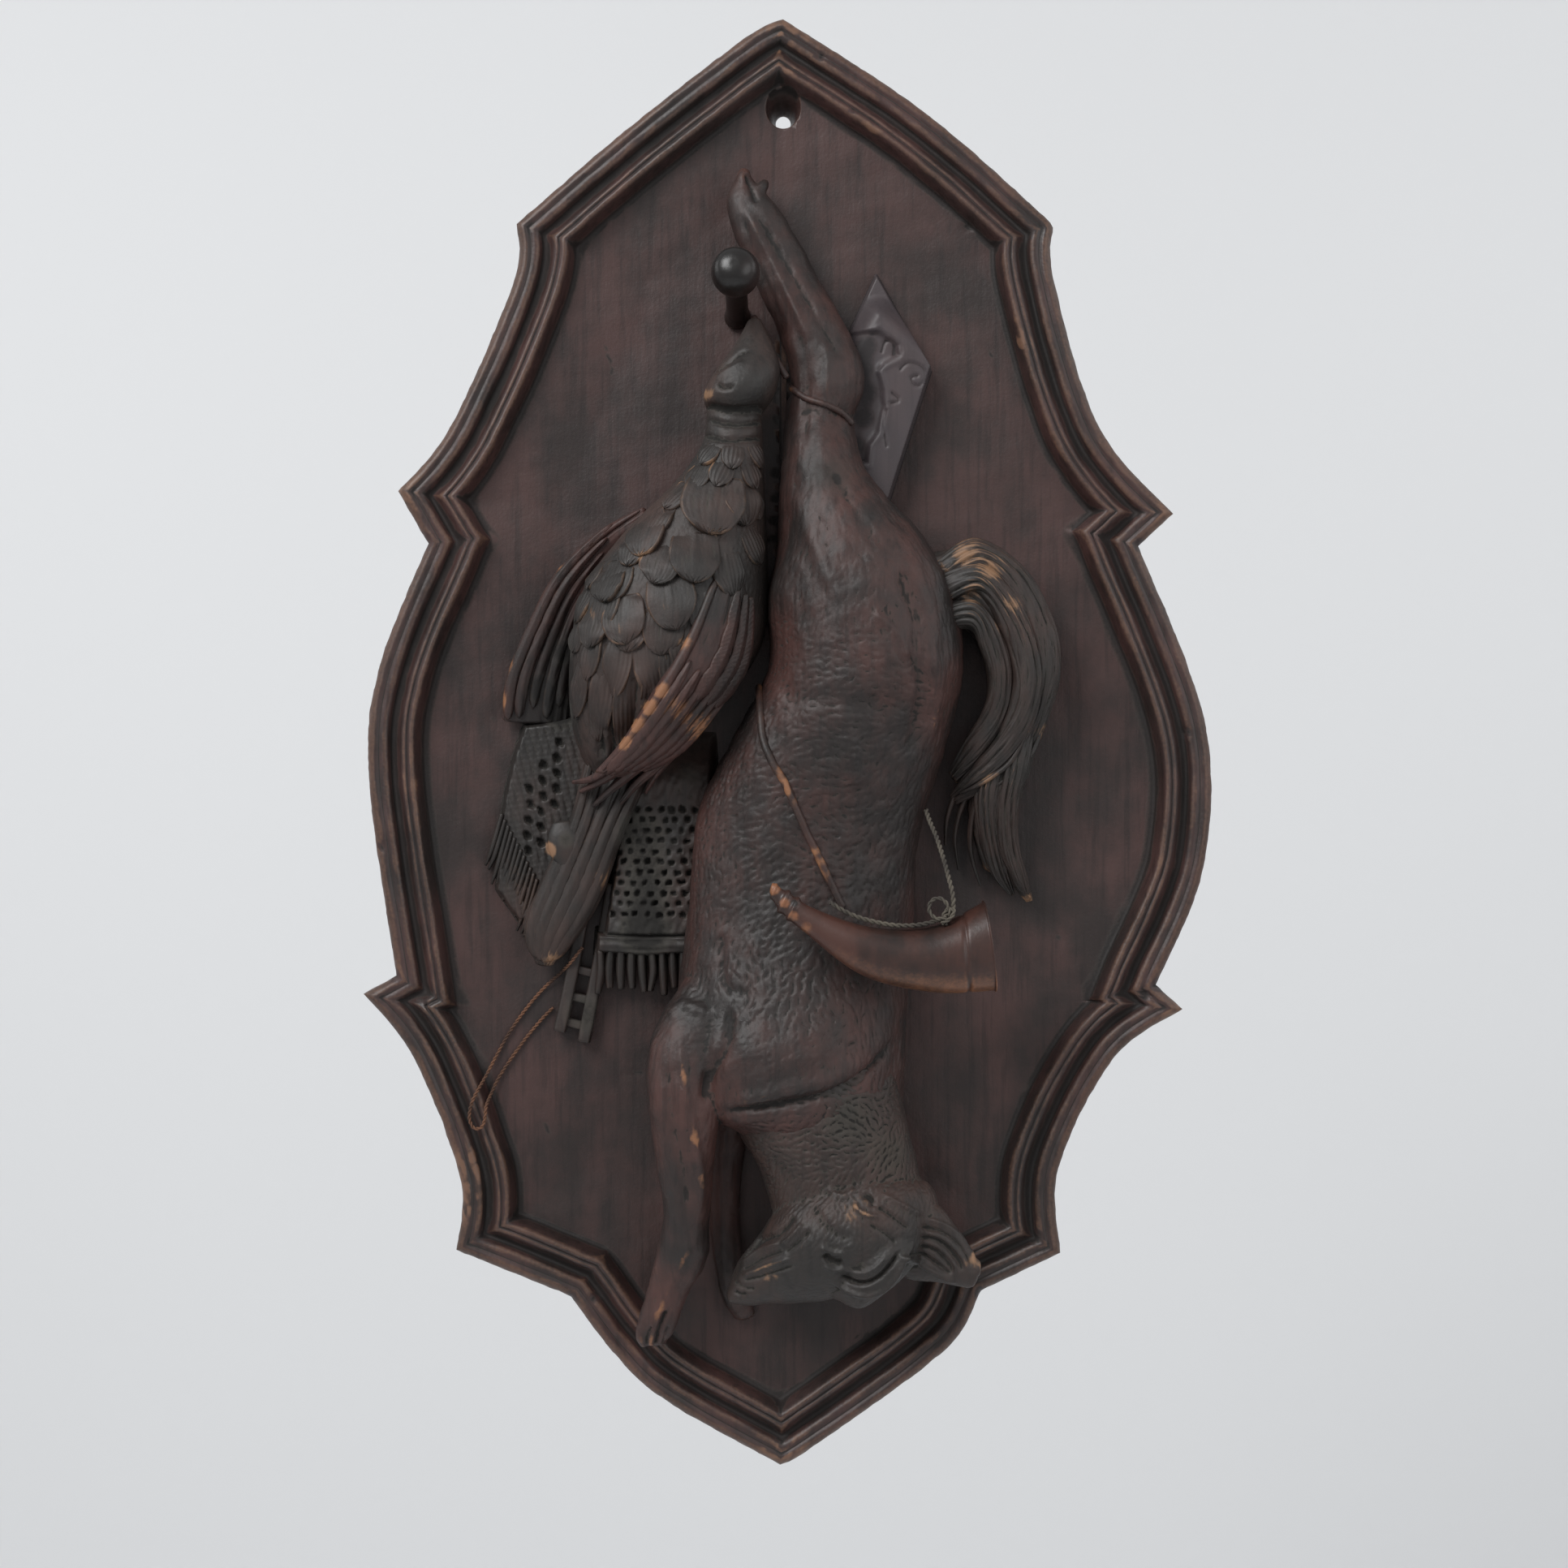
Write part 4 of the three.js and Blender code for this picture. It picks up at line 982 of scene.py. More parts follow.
def engrave(points, normals, lines):
    """Each line: its x, z points, half width, and height, which is negative for a cut."""
    moved = np.zeros(len(points))
    for path, half, height in lines:
        path = np.array(path, float)
        low, high = path.min(0) - 4 * half, path.max(0) + 4 * half
        flat = points[:, [0, 2]]
        inside = np.flatnonzero(((flat > low) & (flat < high)).all(1) & (normals[:, 1] < -0.1))
        if len(inside):
            away, place = line_distance(flat[inside], path)
            ends = step(-0.02, 0.14, place) * step(-0.02, 0.14, 1 - place)
            moved[inside] += height * np.exp(-(away / half) ** 2) * ends
    return points + normals * moved[:, None]

# %% [markdown]
# ## The fox's body
# Hind leg, body and forelegs are one skin, cut off under the chest where the neck begins. The long lines
# come first: the ridge down the shank, the edge of the thigh, the fold of the chest. Then the coat goes
# on.

# %% Fox body sections
HIND_LEG = [  # x, z, depth of both edges, then the swell to the front and to the back
    [-15, -10, 18, -10.5, -9.5, 18, 3, 3], [-18, -16, 19, -6, -14.5, 19, 5.5, 5],
    [-17, -25, 20, 0.5, -23, 20, 7, 6.5], [-10.5, -40, 20, 10, -40, 20, 8, 7],
    [-1, -63, 22, 21.5, -62, 22, 10, 9], [2.5, -77, 23, 26.3, -77, 23, 11, 11],
    [1, -88, 23, 21.5, -90, 23, 10, 12],
]
BODY = [
    [1.5, -83, 22, 21.5, -84, 22, 9, 11], [-0.5, -106, 23, 27, -106, 23, 18, 12],
    [-2, -131, 23, 47, -130, 23, 28, 12], [-5.5, -148, 23, 55.5, -147, 23, 31, 12],
    [-5, -170, 23, 58.5, -170, 23, 32, 12], [-17, -193, 21, 53, -193, 22, 29, 11],
    [-28, -218, 20, 45.5, -219, 20, 26, 10], [-31, -250, 20, 42, -250, 20, 25, 10],
    [-34, -276, 20, 40.5, -276, 20, 30, 10], [-38, -293, 20, 39.5, -292, 20, 34, 10],
    [-31, -310, 22, 38.5, -308, 20, 31, 9], [-18, -317, 25, 39, -316, 22, 25, 9],
]
FORELEG = [
    [-29, -266, 28, -14, -266, 28, 8, 8], [-40, -283, 33, -16, -282, 34, 12, 12],
    [-43.5, -296, 36, -18, -296, 37, 12, 12], [-42.5, -310, 38, -20, -310, 38, 11, 11],
    [-40.5, -326, 37, -22, -327, 37, 9, 10], [-38, -345, 34, -23.3, -346, 34, 8, 8],
    [-40.2, -357, 32, -23.8, -358, 32, 7.5, 7.5], [-44, -369, 29, -30.5, -371, 29, 6, 6],
    [-47, -380, 27, -34.5, -383, 27, 5.5, 5], [-46, -386, 26, -37.5, -387, 26, 4, 4],
]
FAR_FORELEG = [
    [-24, -312, 17, -10, -312, 17, 6, 8], [-24, -345, 15, -14.5, -345, 15, 4.5, 7],
    [-21.5, -371, 15, -12, -370, 15, 4.5, 7], [-16.5, -382, 13, -9.5, -380.5, 13, 2.5, 4],
]
print("limbs:", len(HIND_LEG), len(BODY), len(FORELEG), len(FAR_FORELEG), "sections")

# %% Fox body lines
BODY_LINES = [  # the x, z points of each line, its half width, and its height
    # hind leg: ridge down the shank, the groove beside it, the two lobes of the paw
    [[[-12.3, -21.6], [-6.5, -33.3], [0, -46.4], [5.2, -58.1], [8.1, -66]], 1.5, 1.1],
    [[[-8.6, -23.4], [1.8, -41.2], [11.2, -58.1], [19.6, -72.5]], 1.3, -0.8],
    [[[-13.5, -23], [-9.8, -36], [-4, -50], [1, -62]], 1.2, -0.6],
    [[[-12, -9], [-10, -15], [-8.5, -20]], 0.9, -1.3],
    [[[4, -60], [7, -72], [7.5, -86], [6, -100]], 2.0, -0.7],
    [[[13, -66], [14.5, -76], [13, -90]], 1.6, 0.7],
    # thigh and flank
    [[[39, -134.5], [46.5, -154.2], [46.5, -166.5], [48.8, -178.9], [45.2, -197.3]], 2.4, 1.2],
    [[[34.5, -138], [41.5, -156], [41.5, -168], [43, -180], [39, -200]], 2.2, -1.1],
    [[[-3.8, -177.8], [8.9, -180.9], [21.5, -182.4], [36.6, -183.4]], 3.4, -0.9],
    [[[17.2, -180.5], [20.3, -192.9], [22.8, -209.6]], 2.4, 0.8],
    [[[27.5, -153.3], [35.9, -161.2], [38.6, -169]], 1.5, 0.8],
    [[[3, -112], [8, -128], [14, -142], [20, -152]], 2.6, 0.8],
    [[[14, -104], [22, -120], [30, -134]], 2.2, -0.7],
    # chest and shoulder
    [[[-36.3, -281.2], [-31.2, -276.9], [-21.3, -280.5]], 1.8, 1.1],
    [[[-16.7, -276.9], [-17.8, -288.6], [-23.5, -299.2], [-24.5, -308]], 1.8, -1.5],
    [[[-20.9, -310.7], [-2.3, -307.1], [17.3, -302.5], [28, -295.9], [36, -288]], 1.5, -1.9],
    [[[-16, -306.6], [-1.3, -303.4], [16, -298.6], [26, -292.5]], 2.4, 1.0],
    [[[-19.6, -253.9], [-18.1, -270.3], [-8.9, -272.8]], 1.4, -0.8],
    # foreleg: worn ridge, hollow beside it, the wrist and the toes
    [[[-32.6, -286.6], [-30.5, -302.3], [-27.7, -317.6], [-25.7, -330.3], [-26.5, -345]], 1.3, 0.9],
    [[[-36, -294], [-34.6, -312.8], [-31, -330.6], [-30.9, -343.4]], 1.6, -0.8],
    [[[-29, -351], [-33.3, -361.1], [-38, -371.8], [-42, -380.5]], 1.5, 0.8],
    [[[-37.1, -374.5], [-39.7, -381.2], [-41.3, -388.4]], 0.8, -1.5],
    [[[-42, -380], [-43.6, -384], [-44, -388]], 0.6, -0.8],
    [[[-36.4, -380], [-37.6, -384], [-38.4, -387]], 0.6, -0.8],
]
print("carved lines:", len(BODY_LINES))

# %% Fox coat
COAT = [  # x, z, angle, length, half width, depth
    [-8, -25, 70, 9, 0.7, 0.12], [5, -55, 65, 9, 0.7, 0.12], [12, -80, 82, 9, 0.8, 0.16],
    [8, -105, 84, 10, 0.8, 0.2], [20, -125, 100, 9, 0.85, 0.26], [38, -135, 112, 8, 0.9, 0.3],
    [5, -140, 70, 7, 0.9, 0.3], [20, -150, 88, 6, 0.9, 0.42], [46, -165, 92, 7, 0.8, 0.34],
    [0, -165, 12, 5, 0.9, 0.5], [22, -170, -6, 5, 0.95, 0.55], [36, -178, -18, 5, 0.9, 0.5],
    [-6, -190, 25, 5, 0.9, 0.5], [12, -198, -8, 5, 0.95, 0.6], [34, -205, 40, 6, 0.9, 0.4],
    [46, -205, 84, 7, 0.8, 0.3], [-22, -205, 60, 3.2, 1.0, 0.75], [-6, -220, 14, 5, 0.95, 0.5],
    [12, -225, -12, 5, 1.0, 0.6], [36, -232, 70, 6, 0.9, 0.42], [-26, -235, 65, 3.5, 1.0, 0.7],
    [-12, -248, 35, 5, 0.95, 0.5], [5, -255, 10, 5, 1.0, 0.55], [24, -258, 70, 6, 0.9, 0.5],
    [38, -262, 86, 7, 0.8, 0.4], [-26, -262, 60, 4.5, 0.9, 0.5], [-10, -268, 110, 7, 1.1, 0.85],
    [4, -268, 75, 7, 1.1, 0.85], [16, -275, 96, 8, 0.95, 0.6], [32, -282, 92, 8, 0.8, 0.4],
    [-6, -290, 60, 5, 0.8, 0.3], [10, -296, 50, 5, 0.8, 0.3], [-28, -284, 20, 5, 0.9, 0.3],
    [-32, -305, 84, 8, 0.7, 0.16], [-30, -335, 86, 8, 0.6, 0.14], [-38, -370, 68, 7, 0.6, 0.12],
    [-15, -350, 88, 8, 0.7, 0.2], [25, -306, 80, 6, 0.9, 0.6], [0, -313, 30, 6, 0.95, 0.7],
]
print("guides for the fur:", len(COAT))

# %% Fox body
BODY_VOXEL = 0.56
TOES = [  # x, z, depth, half width, front, back
    [[-45.6, -381, 27, 1.9, 4, 4], [-45.2, -385, 26, 2.4, 4.4, 4], [-44.6, -388, 25, 1.7, 3, 3]],
    [[-38.6, -379.5, 27, 1.9, 4, 4], [-38.6, -384, 26, 2.4, 4.2, 4], [-39.4, -387.6, 25, 1.7, 3, 3]],
    [[-13, -14, 20, 2, 3.5, 3], [-12.8, -10.5, 20, 2.2, 3.4, 3], [-12.4, -7.6, 19, 1.4, 2, 2]],
    [[-9, -17, 20, 2, 3.5, 3], [-6.8, -13.2, 20, 2, 3.2, 3], [-5.6, -10.8, 19, 1.2, 2, 2]],
]

skin_points, skin_quads = fuse(
    [loft(HIND_LEG), loft(BODY), loft(FORELEG), loft(FAR_FORELEG), *[strand(t, sides=20) for t in TOES]],
    BODY_VOXEL)
skin_normals = normals_of(skin_points, skin_quads)
knife = 0.5 * waves(skin_points, 19, 3) + 0.22 * waves(skin_points, 8, 4) + 0.1 * waves(skin_points, 3, 5)
skin_points = skin_points + skin_normals * knife[:, None]
skin_points = engrave(skin_points, normals_of(skin_points, skin_quads), BODY_LINES)
skin_points = fur(skin_points, normals_of(skin_points, skin_quads), COAT, 1.0, 7)

# %% Fox body piece
TROPHY_NODE = "game_trophy"
TROPHY_SLOT = "stained_carving"
# Spots below zero paint dust and painted shade: they darken the inside of the far wing, the net under the
# bird, the thigh, the neck and a few other places.
TROPHY_SPOTS = [  # x, z, radius, strength: rubbed places above zero, dirt and shade below
    [-31, -298, 5, 0.7], [-28, -318, 5, 0.8], [-25.5, -332, 4, 0.7], [-30, -358, 5, 0.5],
    [-38, -374, 6, 0.5], [-43, -386, 4, 0.7], [1, -80, 2.5, 1.0], [0, -100, 2.2, 0.9],
    [0.5, -120, 2.0, 0.6], [48, -186, 6, 0.5], [44, -200, 5, 0.5], [-20, -276, 4, 0.6],
    [-14, -262, 5, 0.4], [20, -285, 8, 0.3], [-8, -300, 10, 0.3], [22, -340, 9, 0.8],
    [-4, -361, 7, 0.8], [6, -352, 4, 0.4], [60, -357, 4, 1.2], [-75.5, -228.5, 3.4, 2.4],
    [-75, -264, 4, 0.8], [-58, -238, 5, 0.4], [-60, -122, 3, 0.8], [-74, -136, 3.5, 1.2],
    [-90, -168, 3, 0.9], [-91.5, -180, 3, 0.9], [-79, -176, 8, -1.2], [-73, -184, 8, -1.3],
    [-72, -164, 7, -1.0], [-38, -178, 3.2, 1.6], [-42, -183, 3.2, 1.8], [-46, -188.5, 3.2, 1.8],
    [-50, -194, 3.2, 1.8], [-26, -190, 7, 0.8], [-33, -184, 6, 0.5], [-31, -163, 3, 0.9],
    [-30, -205, 10, -0.4], [-22, -107, 4, 0.6], [-34, -110, 4, 0.7], [-24, -83, 3, 1.2],
    [-30, -104, 4, 0.6], [58, -134, 6, 1.2], [66, -139, 6, 1.1], [60, -146, 5, 0.9], [73, -150, 5, 0.9],
    [68, -157, 4, 0.6], [84, -190, 5, 0.7], [66, -205, 5, 0.5], [80, -245, 4, 0.9], [2, -207, 3.5, 0.6],
    [11, -229, 3.5, 0.6], [-5, -185, 3, 0.4], [-46, -224, 14, -0.8], [-44, -240, 14, -0.8],
    [-45, -255, 13, -1.2], [-65, -282, 12, -0.7], [16, -110, 15, -0.5], [20, -312, 16, -0.55],
    [34, -324, 12, -0.5], [-70, -225, 5, -0.6],
]


def add_seated(name, points, quads, spots=TROPHY_SPOTS, finish=CARVED_WOOD, crest=0.3, reach=7, share=1.0):
    """A carving with its back cut flat, thinned to a share of its faces."""
    points, quads, backs = seated(points, quads)
    faces = quads.tolist() + backs
    if share < 1:
        points, faces = thinned(points, faces, share)
    return add_piece(name, points, faces, TROPHY_NODE, TROPHY_SLOT, finish, spots, crest, reach, broken=0.5)


add_seated("fox_body", skin_points, skin_quads, share=0.42)
body_tree = BVHTree.FromPolygons(skin_points.tolist(), skin_quads.tolist())

# %% [markdown]
# ## The fox's head
# The head hangs down and is turned to the left, with its muzzle low and its ears to the right. Neck,
# skull and ears are fused as the body was. The features are drawn as lines: the lips, the folds of the
# cheek, the crescent of the near ear and the ribs inside the far one. The far ear is hollowed first, as a
# cup.

# %% Fox head sections
NECK = [
    [-24, -300, 24, 36.5, -297, 24, 27, 9], [-15, -318, 26, 40, -316, 26, 24, 10],
    [-6.5, -333, 30, 44, -332, 29, 19, 11], [-2, -350, 33, 49.5, -350, 32, 15, 11],
]
HEAD = [
    [-17.8, -368.5, 33, -16.3, -373, 33, 3.5, 3.5], [-14.5, -360, 33, -10, -373.3, 33, 8.5, 8],
    [-8, -351, 34, -2, -372.3, 34, 12, 11], [2, -338, 36, 12, -371, 36, 17, 14],
    [20, -329, 36, 31, -366, 36, 19, 16], [34, -329, 35, 41, -361, 35, 17, 15],
    [44, -333, 34, 46.5, -355, 34, 11, 11],
]
NEAR_EAR = [
    [14.5, -364, 45, 16.5, -369, 44, 3, 3], [21, -355, 49, 25, -371, 46, 6, 5],
    [33, -347, 49, 36.5, -362, 47, 7, 6], [40, -344, 44, 44, -355, 43, 5, 5],
]
FAR_EAR = [
    [38, -336, 38, 39, -364, 38, 7, 7], [50, -341, 40, 50, -365, 40, 6, 6],
    [58, -352.5, 41, 59, -366, 41, 4.5, 4.5], [61.5, -357, 42, 61.3, -362.5, 42, 2.5, 2.5],
]
print("sections:", len(NECK), len(HEAD), len(NEAR_EAR), len(FAR_EAR))

# %% Fox head lines
HEAD_LINES = [
    # lips and folds of the cheek
    [[[-16.1, -359.7], [-13.8, -355.4], [-9.7, -350.3], [-5.6, -346.2], [-3.6, -341.1]], 0.8, 0.6],
    [[[-13.6, -358], [-9.9, -354.0], [-6.4, -350.9], [-2.2, -348.3]], 0.65, -1.5],
    [[[-13.6, -359.4], [-9.9, -356.1], [-5.6, -352.9], [-0.6, -350.5]], 0.6, 0.9],
    [[[-13.4, -361], [-9.5, -358.1], [-5, -355.2], [0.6, -352.6]], 0.6, -0.9],
    [[[-13.2, -362.4], [-8.6, -360.2], [-3.6, -357.4], [2.2, -354.8]], 0.65, 0.8],
    [[[-13.2, -363.9], [-7.8, -362.2], [-2, -359.6], [4, -356.8]], 0.6, -0.7],
    [[[-3, -349.6], [0.5, -346.1], [3.8, -342]], 0.7, -1.0],
    [[[-1, -351.4], [2.6, -348.2], [6, -344]], 0.7, 0.9],
    [[[0.4, -353.4], [4.4, -350], [8.4, -345.6]], 0.7, -0.9],
    [[[-16, -364.5], [-13, -366], [-8.6, -366.2]], 0.8, -0.7],
    [[[-15.8, -367.6], [-13.6, -368.8], [-11.6, -367.8]], 0.8, -1.0],
    [[[12.5, -353], [15.2, -355.6], [18.6, -355.6]], 1.0, -1.6],
    [[[11.4, -350.6], [15, -352.4], [19.4, -352.6]], 0.9, 0.8],
    [[[12.6, -356.6], [15.6, -358.2], [19, -357.6]], 0.7, 0.7],
    # near ear: a thin crescent, dark inside
    [[[13.9, -360.2], [19.8, -364.6], [25.8, -366.1], [30.9, -364.4], [34.9, -360.1], [38, -354.2],
      [41, -349.9]], 0.8, 1.1],
    [[[17.6, -360], [23.8, -362.2], [28.8, -360.6], [33, -356.6], [36.4, -351.8]], 0.75, -2.0],
    [[[18, -357.6], [24, -359], [28.6, -357], [32.6, -352.8]], 0.7, 0.7],
    # far ear: ribs that bend round it, and its bright lower rim
    [[[35.3, -353.4], [39.4, -355.2], [44, -358.4], [49.6, -361.6], [55, -364.2]], 0.8, 1.2],
    [[[38, -353.2], [43.6, -354.6], [48.6, -358], [53.4, -361.4]], 0.6, -1.0],
    [[[43, -345.8], [50.6, -348], [57.4, -354.4], [59.4, -359.6]], 0.6, -0.9],
    [[[42.8, -347.4], [50, -349.6], [56, -355.4], [57.8, -360]], 0.5, 0.5],
    [[[42.6, -348.8], [49.4, -351], [54.8, -356.4], [56.4, -360.6]], 0.6, -0.9],
    [[[42.4, -350.2], [48.6, -352.4], [53.4, -357.2], [54.8, -361]], 0.5, 0.5],
    [[[42.2, -351.6], [47.8, -353.8], [52, -358], [53.2, -361]], 0.6, -0.9],
    [[[44, -343.6], [51.4, -345.9], [58.4, -352.7], [60.4, -358.8]], 0.6, 0.6],
    # brow: a few tufts and folds
    [[[24.6, -334.8], [27.4, -336], [27.8, -338.6]], 0.9, -1.2],
    [[[13.6, -333.6], [18.4, -335.6], [22.6, -333.2]], 0.9, 0.7],
    [[[21.6, -337.6], [25.2, -340.4], [30.2, -341.4]], 0.8, 0.8],
    [[[30.8, -334.8], [36.6, -338.1], [43.4, -342.2]], 0.8, 0.7],
    [[[29, -338], [34.4, -341.8], [39.4, -346]], 0.8, -0.8],
    [[[26.6, -343.6], [31.4, -346.6], [35.4, -350]], 0.7, -0.6],
    [[[9, -338], [12, -343], [17, -347], [22, -348]], 1.5, -0.6],
]
print("carved lines:", len(HEAD_LINES))

# %% Fox head
HEAD_VOXEL = 0.45
HEAD_COAT = [
    [-10, -318, 30, 5, 0.9, 0.6], [8, -312, 8, 6, 1.0, 0.8], [26, -310, -14, 6, 1.0, 0.8],
    [38, -322, 72, 8, 0.9, 0.45], [0, -328, 22, 5.5, 0.95, 0.65], [16, -324, -4, 6, 1.0, 0.75],
    [32, -330, 50, 6, 0.9, 0.6], [4, -340, 62, 5, 0.8, 0.4], [16, -338, 80, 5, 0.8, 0.5],
    [28, -344, 100, 5, 0.8, 0.45], [-6, -352, 40, 4, 0.5, 0.1], [-10, -364, 15, 4, 0.5, 0.14],
    [8, -362, 8, 4.5, 0.6, 0.25], [22, -360, 20, 4, 0.5, 0.12], [38, -352, 30, 4, 0.5, 0.12],
    [50, -352, 130, 4, 0.5, 0.12], [44, -336, 60, 6, 0.8, 0.4], [48, -348, 75, 6, 0.7, 0.25],
]
EAR_CUP = [50, -355, 47.5]        # the middle of the hollow
EAR_CUP_HALF = [9.5, 5, 8]
EAR_CUP_DEPTH = 1.6

head_points, head_quads = fuse(
    [loft(NECK), loft(HEAD), loft(NEAR_EAR, sides=32), loft(FAR_EAR, sides=32)], HEAD_VOXEL)
head_normals = normals_of(head_points, head_quads)
cup = np.linalg.norm((head_points - at(*EAR_CUP)) / EAR_CUP_HALF, axis=1)
head_points[:, 1] += np.where(head_normals[:, 1] < 0, EAR_CUP_DEPTH * (1 - step(0.25, 1.05, cup)), 0)
head_points = head_points + head_normals * (0.3 * waves(head_points, 12, 13))[:, None]
head_points = fur(head_points, normals_of(head_points, head_quads), HEAD_COAT, 0.8, 17)
head_points = engrave(head_points, normals_of(head_points, head_quads), HEAD_LINES)
add_seated("fox_head", head_points, head_quads, finish=DUSTY_WOOD, reach=8, share=0.66)

# %% [markdown]
# ## The brush
# The brush sweeps up from the rump, over and down to a thin tip. It is cut as long locks that lie on each
# other, each with fine lines of hair along it. A remesh would blur those lines, so every lock is a loft
# of its own, and the hairlines are pressed into its surface as it is made. Thin wisps fill the edges.

# %% Brush sections
BRUSH_CORE = [
    [40, -134, 24, 42, -155, 24, 9, 11], [59, -131.5, 24, 57, -156, 24, 11, 12],
    [76.5, -143.5, 24, 63, -163, 22, 12, 12], [85.5, -167, 22, 66, -176, 20, 12, 11],
    [82, -194, 20, 62, -194, 18, 10, 9], [74, -218, 18, 60, -215, 16, 8, 7],
    [76, -236, 16, 65, -234, 15, 5, 6],
]
LOCKS = [   # broad flat locks that lie on the core and on each other
    [[49, -135, 27, 56, -143, 33, 4, 7], [62, -128.6, 27, 64, -140, 34, 5, 8],
     [78, -139.5, 27, 71.5, -148, 34, 5, 8], [87, -157.5, 26, 78, -162, 33, 5, 8],
     [88, -173, 25.6, 79, -173, 32, 5, 8], [84.4, -186, 24.6, 77.4, -184, 30, 4.5, 7],
     [81, -197, 23, 76, -195, 28, 2.5, 5], [79, -205, 22, 77.6, -204, 25, 1, 2]],
    [[48, -141, 30, 54, -149, 34, 4, 7], [62, -136.5, 31, 62, -147, 36, 5, 8],
     [74.6, -147, 31, 67.5, -155, 36, 5, 8], [82, -164.5, 30, 72.5, -168, 35, 5, 8],
     [82.4, -180, 28.6, 72.6, -180, 34, 5, 8], [76.5, -195, 27, 68, -191, 31, 5, 8],
     [65.6, -208.5, 25, 59.6, -203, 26, 4, 6], [56.8, -213.6, 21, 54, -210.4, 21, 1.5, 3]],
    [[50, -150, 33, 54, -158, 33, 4, 7], [61, -148.5, 34, 60, -158, 35, 4.5, 7],
     [69, -157.5, 35, 62.6, -164, 34, 4.5, 7], [73.4, -171, 33, 65.6, -174, 32, 4.5, 7],
     [72.4, -185, 30, 63.6, -184, 29, 4, 7], [65.4, -197.5, 27, 58.4, -193, 25, 4, 6],
     [56.4, -206.5, 23, 53.6, -202.6, 21, 1.5, 3]],
    [[81.4, -186, 27, 72, -190, 29, 3, 5], [80, -200, 25, 69, -203, 28, 5, 7],
     [76.4, -213, 23.4, 67.4, -215, 26, 5, 7], [76.2, -226, 21, 69.4, -228, 23, 4, 6],
     [79.6, -238, 18.4, 74.6, -239.4, 19.6, 3, 4], [81.4, -245, 16.6, 79.4, -245.6, 16.8, 1, 2]],
    [[73, -197, 27, 64, -200, 28, 3, 5], [71.4, -210, 25, 61.4, -212, 25, 4.5, 7],
     [71, -223, 22.4, 63.4, -225, 21.6, 4, 6], [73.4, -235, 19, 67.6, -236.4, 18, 3, 4],
     [75.6, -243, 16.8, 73.8, -243.6, 16.4, 1, 2]],
]
WISPS = [   # thin hairs at the edges of the locks
    [[64, -198, 26, 0.9, 1.4, 3], [57, -208, 22, 0.9, 1.4, 3], [53.4, -218, 18.5, 0.8, 1.2, 3],
     [53, -227, 15, 0.4, 0.8, 2]],
    [[66, -202, 26, 0.9, 1.4, 3], [59, -212, 21, 1.0, 1.4, 3], [56, -224, 17, 0.8, 1.2, 3],
     [57.4, -235, 14, 0.4, 0.8, 2]],
    [[68, -204, 26, 0.9, 1.4, 3], [62, -215, 22, 1.0, 1.4, 3], [61, -228, 18, 0.8, 1.2, 3],
     [64.4, -240, 14.6, 0.4, 0.8, 2]],
    [[84, -186, 27, 0.8, 1.4, 3], [80, -197, 27.6, 1.0, 1.4, 3], [72, -205, 28.6, 0.9, 1.4, 3],
     [64, -210.6, 27, 0.4, 0.8, 2]],
    [[78, -190, 31, 0.8, 1.4, 3], [72.6, -200, 30.6, 1.0, 1.4, 3], [64, -206.6, 29, 0.9, 1.4, 3],
     [57.4, -210, 24.6, 0.4, 0.8, 2]],
    [[72, -206, 27, 0.8, 1.4, 3], [70, -220, 26, 1.0, 1.4, 3], [74, -233, 21.6, 0.8, 1.2, 3],
     [80.4, -244, 17.8, 0.4, 0.8, 2]],
]


print("locks:", len(LOCKS), "wisps:", len(WISPS))

# %% Brush
def hairlines(count, depth, seed, fine=0.0):
    """Valleys that run along a loft. The fine ones are hair, about three to each broad valley."""
    def valleys(phase, sharp):
        return (1 - np.abs(np.sin(phase * math.pi / 2))) ** sharp

    def relief(along, angle):
        across = np.cos(angle)
        drift = 0.5 * np.sin(along / 17 + seed + across)
        drift = drift + 0.25 * np.sin(along / 7.3 + 2 * seed + 2.6 * across)
        fade = 0.55 + 0.45 * np.sin(along / 11 + 3 * across + seed)
        broad = depth * valleys(across * count + drift, 1.5) * fade
        wriggle = 0.7 * np.sin(along / 4.1 + 9 * across)
        hair = fine * valleys(across * count * 3.1 + 2.2 * drift + wriggle, 1.1)
        return -(broad + hair) * (np.sin(angle) > -0.2)
    return relief


def pressed(forms):
    """Loose forms as one, with all that lies behind the seat pressed flat onto it."""
    points, quads, tris = join_forms(forms)
    points[:, 1] = np.minimum(points[:, 1], -SEAT)
    return points, quads, tris


def add_carving(name, form, finish, spots=TROPHY_SPOTS, crest=0.2, reach=4, **options):
    return add_piece(name, form[0], faces_of(form), TROPHY_NODE, TROPHY_SLOT, finish, spots, crest, reach,
                     **options)


rng = np.random.default_rng(41)
locks = [loft(BRUSH_CORE, pitch=1.4, sides=120, relief=hairlines(10, 1.1, 1.0, fine=0.4))]
for spine in LOCKS:
    locks.append(loft(spine, pitch=1.1, sides=90, relief=hairlines(4, 1.15, rng.uniform(0, 6), fine=0.42)))
for spine in WISPS:
    locks.append(strand(spine, pitch=0.9, sides=16, relief=hairlines(1, 0.3, rng.uniform(0, 6))))
add_carving("fox_brush", pressed(locks), DUSTY_WOOD, crest=0.25, reach=5, rub=0.6, broken=0.3)

# %% [markdown]
# ## Feathers
# A carved feather is a thin leaf with a raised shaft, domed across, with fine barbs that slant to its
# edge. The small ones on the breast lie like roof tiles. The long ones of the wings and tail are the same
# leaf drawn out. `touch` finds where a leaf rests: it looks at the body from the front and gives the
# place it meets.

# %% Feather maker
IN_FRONT = -300.0                 # y from where the body is looked at


